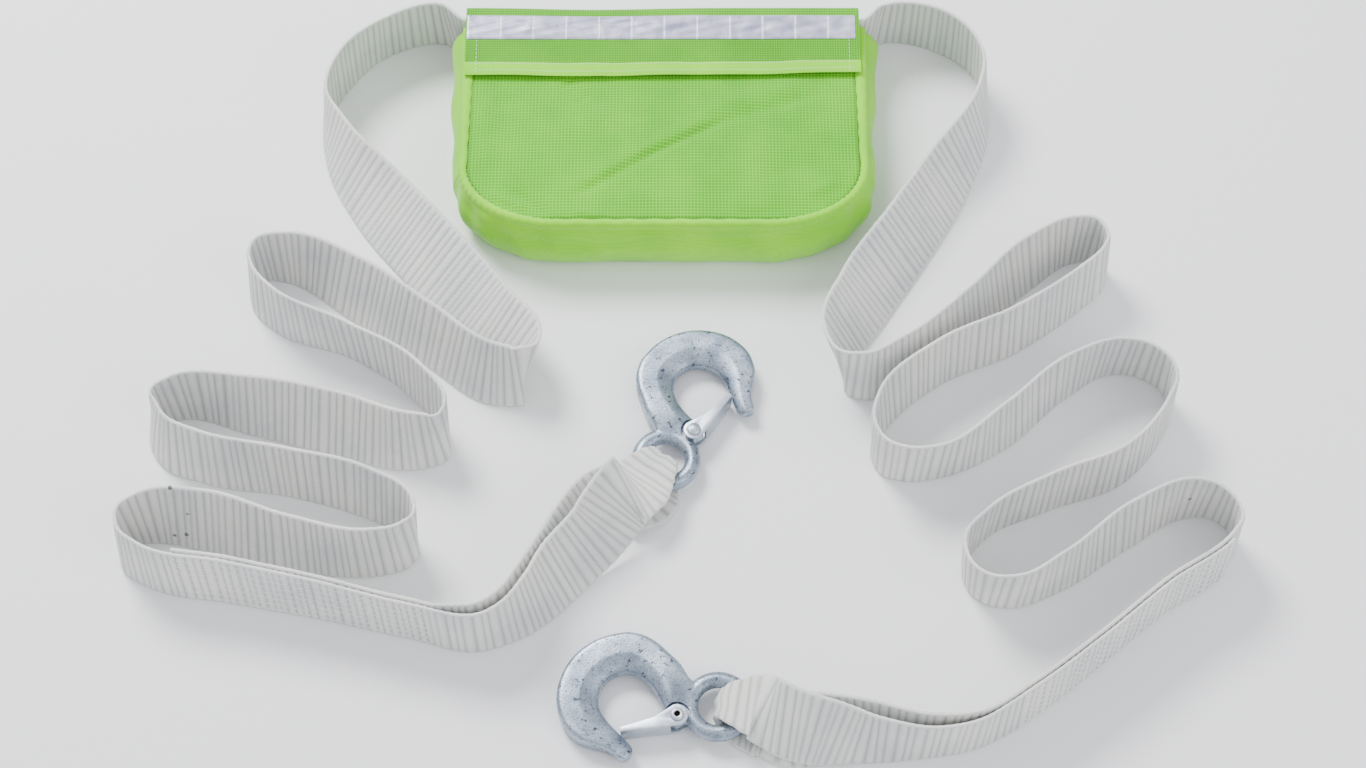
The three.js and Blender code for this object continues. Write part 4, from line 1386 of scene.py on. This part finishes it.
# Bag, gusset: one long strip of smooth, bright lime knit round the sides and the near
# edge. It bulges outwards, and its upper edge is rolled over the front panel's.
trim_material = lime_cloth("smooth lime polyester knit", "80d802", "94e60c", "eef6ea", 1.1, 0.1)
gusset_line = [(-BAG_HALF, GUSSET_END - 8 * i, -1, 0) for i in range(13)]
gusset_line = [p for p in gusset_line if p[1] > BAG_NEAR + BAG_CORNER + 4]
for i in range(25):
    angle = math.radians(180 + 90 * i / 24)
    out = Vector((math.cos(angle) / BAG_CORNER_WIDTH, math.sin(angle) / BAG_CORNER)).normalized()
    gusset_line.append(
        (
            -BAG_HALF + BAG_CORNER_WIDTH * (1 + math.cos(angle)),
            BAG_NEAR + BAG_CORNER * (1 + math.sin(angle)),
            out.x,
            out.y,
        )
    )
gusset_line += [(x, BAG_NEAR, 0, -1) for x in (-56, -45, -34, -23, -12)]
gusset_line += [(0, BAG_NEAR, 0, -1)] + [(-x, y, -nx, ny) for x, y, nx, ny in reversed(gusset_line)]
# Share of the bulge and height, from the seam with the back panel to the rolled edge.
GUSSET_PROFILE = [
    (-0.05, 1.9), (0.2, 3.2), (0.52, 7.5), (0.82, 14), (0.98, 21), (0.97, 27), (0.8, 33),
    (0.55, 38.5), (0.33, 41.6), (0.3, 43.2), (0.33, 45.4), (0.24, 47.3), (0.05, 48.2),
    (-0.14, 48.0), (-0.26, 47.1),
]
GUSSET_STEPS = 420
grid = []
for i in range(GUSSET_STEPS + 1):
    x, y, nx, ny = smooth_point(gusset_line, i / GUSSET_STEPS)
    side = abs(nx)
    bulge = GUSSET_BULGE * (0.6 + max(y + 42, 0) * 0.0045 * side)
    row = []
    for j in range(31):
        out, z = smooth_point(GUSSET_PROFILE, j / 30)
        slack = math.sin(math.pi * min(j / 20, 1))
        folds = 0.7 * math.sin(i * 0.21 + 0.12 * j) + 0.5 * math.sin(i * 0.083 - 0.25 * j + 1)
        pucker = 0.25 * math.sin(i * 0.9) * (1 - slack)
        dent = -1.5 * math.exp(-(((j - 13 - math.sin(i * 0.03)) / 1.6) ** 2)) * min(1, 2.5 * ny * ny)
        reach = out * bulge + 1.3 * folds * slack + pucker * (j > 20) + dent
        row.append(Vector((x + nx * reach, y + ny * reach, max(z, 1.9) + 0.3 * folds * slack)))
    grid.append(row)
gusset = cloth_piece("side_gusset", grid, CLOTH, trim_material)
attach(gusset, "strap_and_bag")
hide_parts("bag_gusset")

# Flap: a strip of the grid cloth, double along its free edge, which folds over from
# the back panel's top, lies on the webbing and hangs over the front panel's mouth.
FLAP_LINE = [
    (79.2, 53.6), (78.9, 54.9), (77.6, 55.9), (75.4, 56.3), (70, 56.4), (63, 55.9), (55, 54.7),
    (47, 53.1), (40, 51.7), (34, 50.8), (29, 50.2),
]
FLAP_CREASES = [
    (-96, 62, -52, 56, 0.7, 4), (-50, 70, -14, 60, -0.6, 4), (-10, 62, 26, 70, 0.6, 4),
    (34, 66, 64, 58, -0.5, 4), (66, 62, 96, 68, 0.6, 3.5), (-60, 44, -36, 30, 0.6, 5),
    (10, 44, 28, 32, -0.5, 4), (78, 42, 96, 34, 0.5, 5), (-112, 46, -96, 34, -0.4, 5),
]


def flap_point(x, share):
    y, z = smooth_point(FLAP_LINE, share)
    ruffle = 0.7 * math.sin(x / 17 + 0.6) + 0.5 * math.sin(x / 7.7 + 2)
    free = min(max((60 - y) / 30, 0), 1)
    sag = 1.6 * math.exp(-(((x + 45) / 46) ** 2)) * min(max((y - 66) / 10, 0), 1)
    wander = (1.2 * math.exp(-(((x + 55) / 40) ** 2)) - 2.0 * math.exp(-(((x - 120) / 50) ** 2))) * free
    return Vector((x, y - wander - sag, z + 0.35 * ruffle * free + creased(x, y, FLAP_CREASES)))


flap_material = lime_cloth("lime mesh polyester", "5ab408", "6cc612", "7cac60", 1.65, 0.6)
grid = []
for r in range(61):
    half = 128.5 + 1.5 * min(r / 10, 1)
    grid.append([flap_point(-1 + half * (2 * c / 150 - 1), r / 60) for c in range(151)])
flap = cloth_piece("flap_mesh", grid, 1.3, flap_material)
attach(flap, "flap_body")
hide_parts("bag_flap")

# Binding of the flap: a folded strip of the smooth lime knit sewn round its free edge.
grid = []
HEM_SHARES = [0.845, 0.85, 0.87, 0.9, 0.94, 0.98, 1.0]
for k, share in enumerate(HEM_SHARES):
    rise = (0.7, 1.15, 1.25, 1.35, 1.45, 1.3, 0.9)[k]
    row = []
    for c in range(151):
        place = flap_point(-1 + 130.3 * (2 * c / 150 - 1), share)
        row.append(place + Vector((0, -0.9 * (share > 0.99), rise)))
    grid.append(row)
binding = cloth_piece("flap_binding", grid, 0.9, trim_material)
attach(binding, "flap_body")

# Tape: silver retroreflective tape with welded cells about 21 mm long, sewn along its
# edges to the flap. It is a grey-lilac plastic film, lightly wrinkled.
tape_material, tree, shader = new_material("cell-embossed reflective film")
place = add(tree, "ShaderNodeTexCoord").outputs["Object"]
parts = add(tree, "ShaderNodeSeparateXYZ", {"Vector": place}).outputs
cells = add(
    tree,
    "ShaderNodeMath",
    {
        0: add(
            tree,
            "ShaderNodeMath",
            {0: parts["X"], 1: 2 * math.pi / (21.6 * MM)},
            operation="MULTIPLY",
        ).outputs[0],
    },
    operation="COSINE",
).outputs[0]
weld = add(
    tree,
    "ShaderNodeValToRGB",
    {"Fac": cells},
    stops=[(0.97, 0.0), (0.998, 1.0)],
).outputs["Color"]
# The scale is per metre: the film's wrinkles are about 17 mm.
waves = add(tree, "ShaderNodeTexNoise", {"Vector": place, "Scale": 60, "Detail": 5, "Distortion": 1.2})
tiny = weave_lines(tree, place, 0.9, 2)
# Painted shade and painted highlight: the film's colour darkens and lightens with the same noise that
# gives its wrinkles their bumps.
tone = add(
    tree,
    "ShaderNodeValToRGB",
    {"Fac": waves.outputs["Fac"]},
    stops=[(0.34, "9595b0"), (0.5, "b0b0c6"), (0.66, "c9c9d8")],
).outputs["Color"]
silver = add(
    tree,
    "ShaderNodeMix",
    {"Factor": weld, "A": tone, "B": hex_colour("dcdce6")},
    data_type="RGBA",
)
tree.links.new(silver.outputs["Result"], shader.inputs["Base Color"])
shader.inputs["Metallic"].default_value = 0.15
shader.inputs["Roughness"].default_value = 0.35
shader.inputs["Coat Weight"].default_value = 0.3
bump = add(
    tree,
    "ShaderNodeBump",
    {
        "Strength": 0.5,
        "Distance": 0.0006,
        "Height": add(
            tree,
            "ShaderNodeMath",
            {
                0: weld,
                1: -0.5,
                2: add(
                    tree,
                    "ShaderNodeMath",
                    {0: tiny, 1: 0.12, 2: waves.outputs["Fac"]},
                    operation="MULTIPLY_ADD",
                ).outputs[0],
            },
            operation="MULTIPLY_ADD",
        ).outputs[0],
    },
)
tree.links.new(bump.outputs["Normal"], shader.inputs["Normal"])
grid = []
for r in range(25):
    share = 0.375 + (0.615 - 0.375) * r / 24
    lift = 1.15 - 0.35 * (r in (0, 24))
    row = []
    for c in range(181):
        x = -2 + 128.2 * (2 * c / 180 - 1)
        wrinkle = 0.4 * math.sin(x / 6.3 + r * 0.4) * math.sin(x / 13 + 0.3 * r)
        row.append(flap_point(x, share) + Vector((0, 0, lift + wrinkle * math.sin(math.pi * r / 24))))
    grid.append(row)
tape = cloth_piece("silver_tape", grid, 0.5, tape_material)
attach(tape, "flap_body")
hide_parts("reflective_tape")

# Seams of the flap: rows of fine white thread along both edges of the tape and of the
# binding, and a bar of stitches down each end.
def flap_row(share, rise, start=-126.5, stop=124.5):
    count = int((stop - start) / 3)
    return [
        (flap_point(start + (stop - start) * i / count, share) + Vector((0, 0, rise))) * MM
        for i in range(count + 1)
    ]


flap_lines = [flap_row(0.385, 1.5), flap_row(0.605, 1.5), flap_row(0.86, 1.75), flap_row(0.955, 1.95)]
for x in (-123.5, 122):
    end_bar = []
    for i in range(13):
        on_top = 0.85 if i < 8 else 1.9
        end_bar.append((flap_point(x, 0.6 + 0.38 * i / 12) + Vector((0, 0, on_top))) * MM)
    flap_lines.append(end_bar)
flap_thread = stitches("flap_stitches", flap_lines, 2.6, 1.9, 0.2, thread_material)
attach(flap_thread, "flap_body")
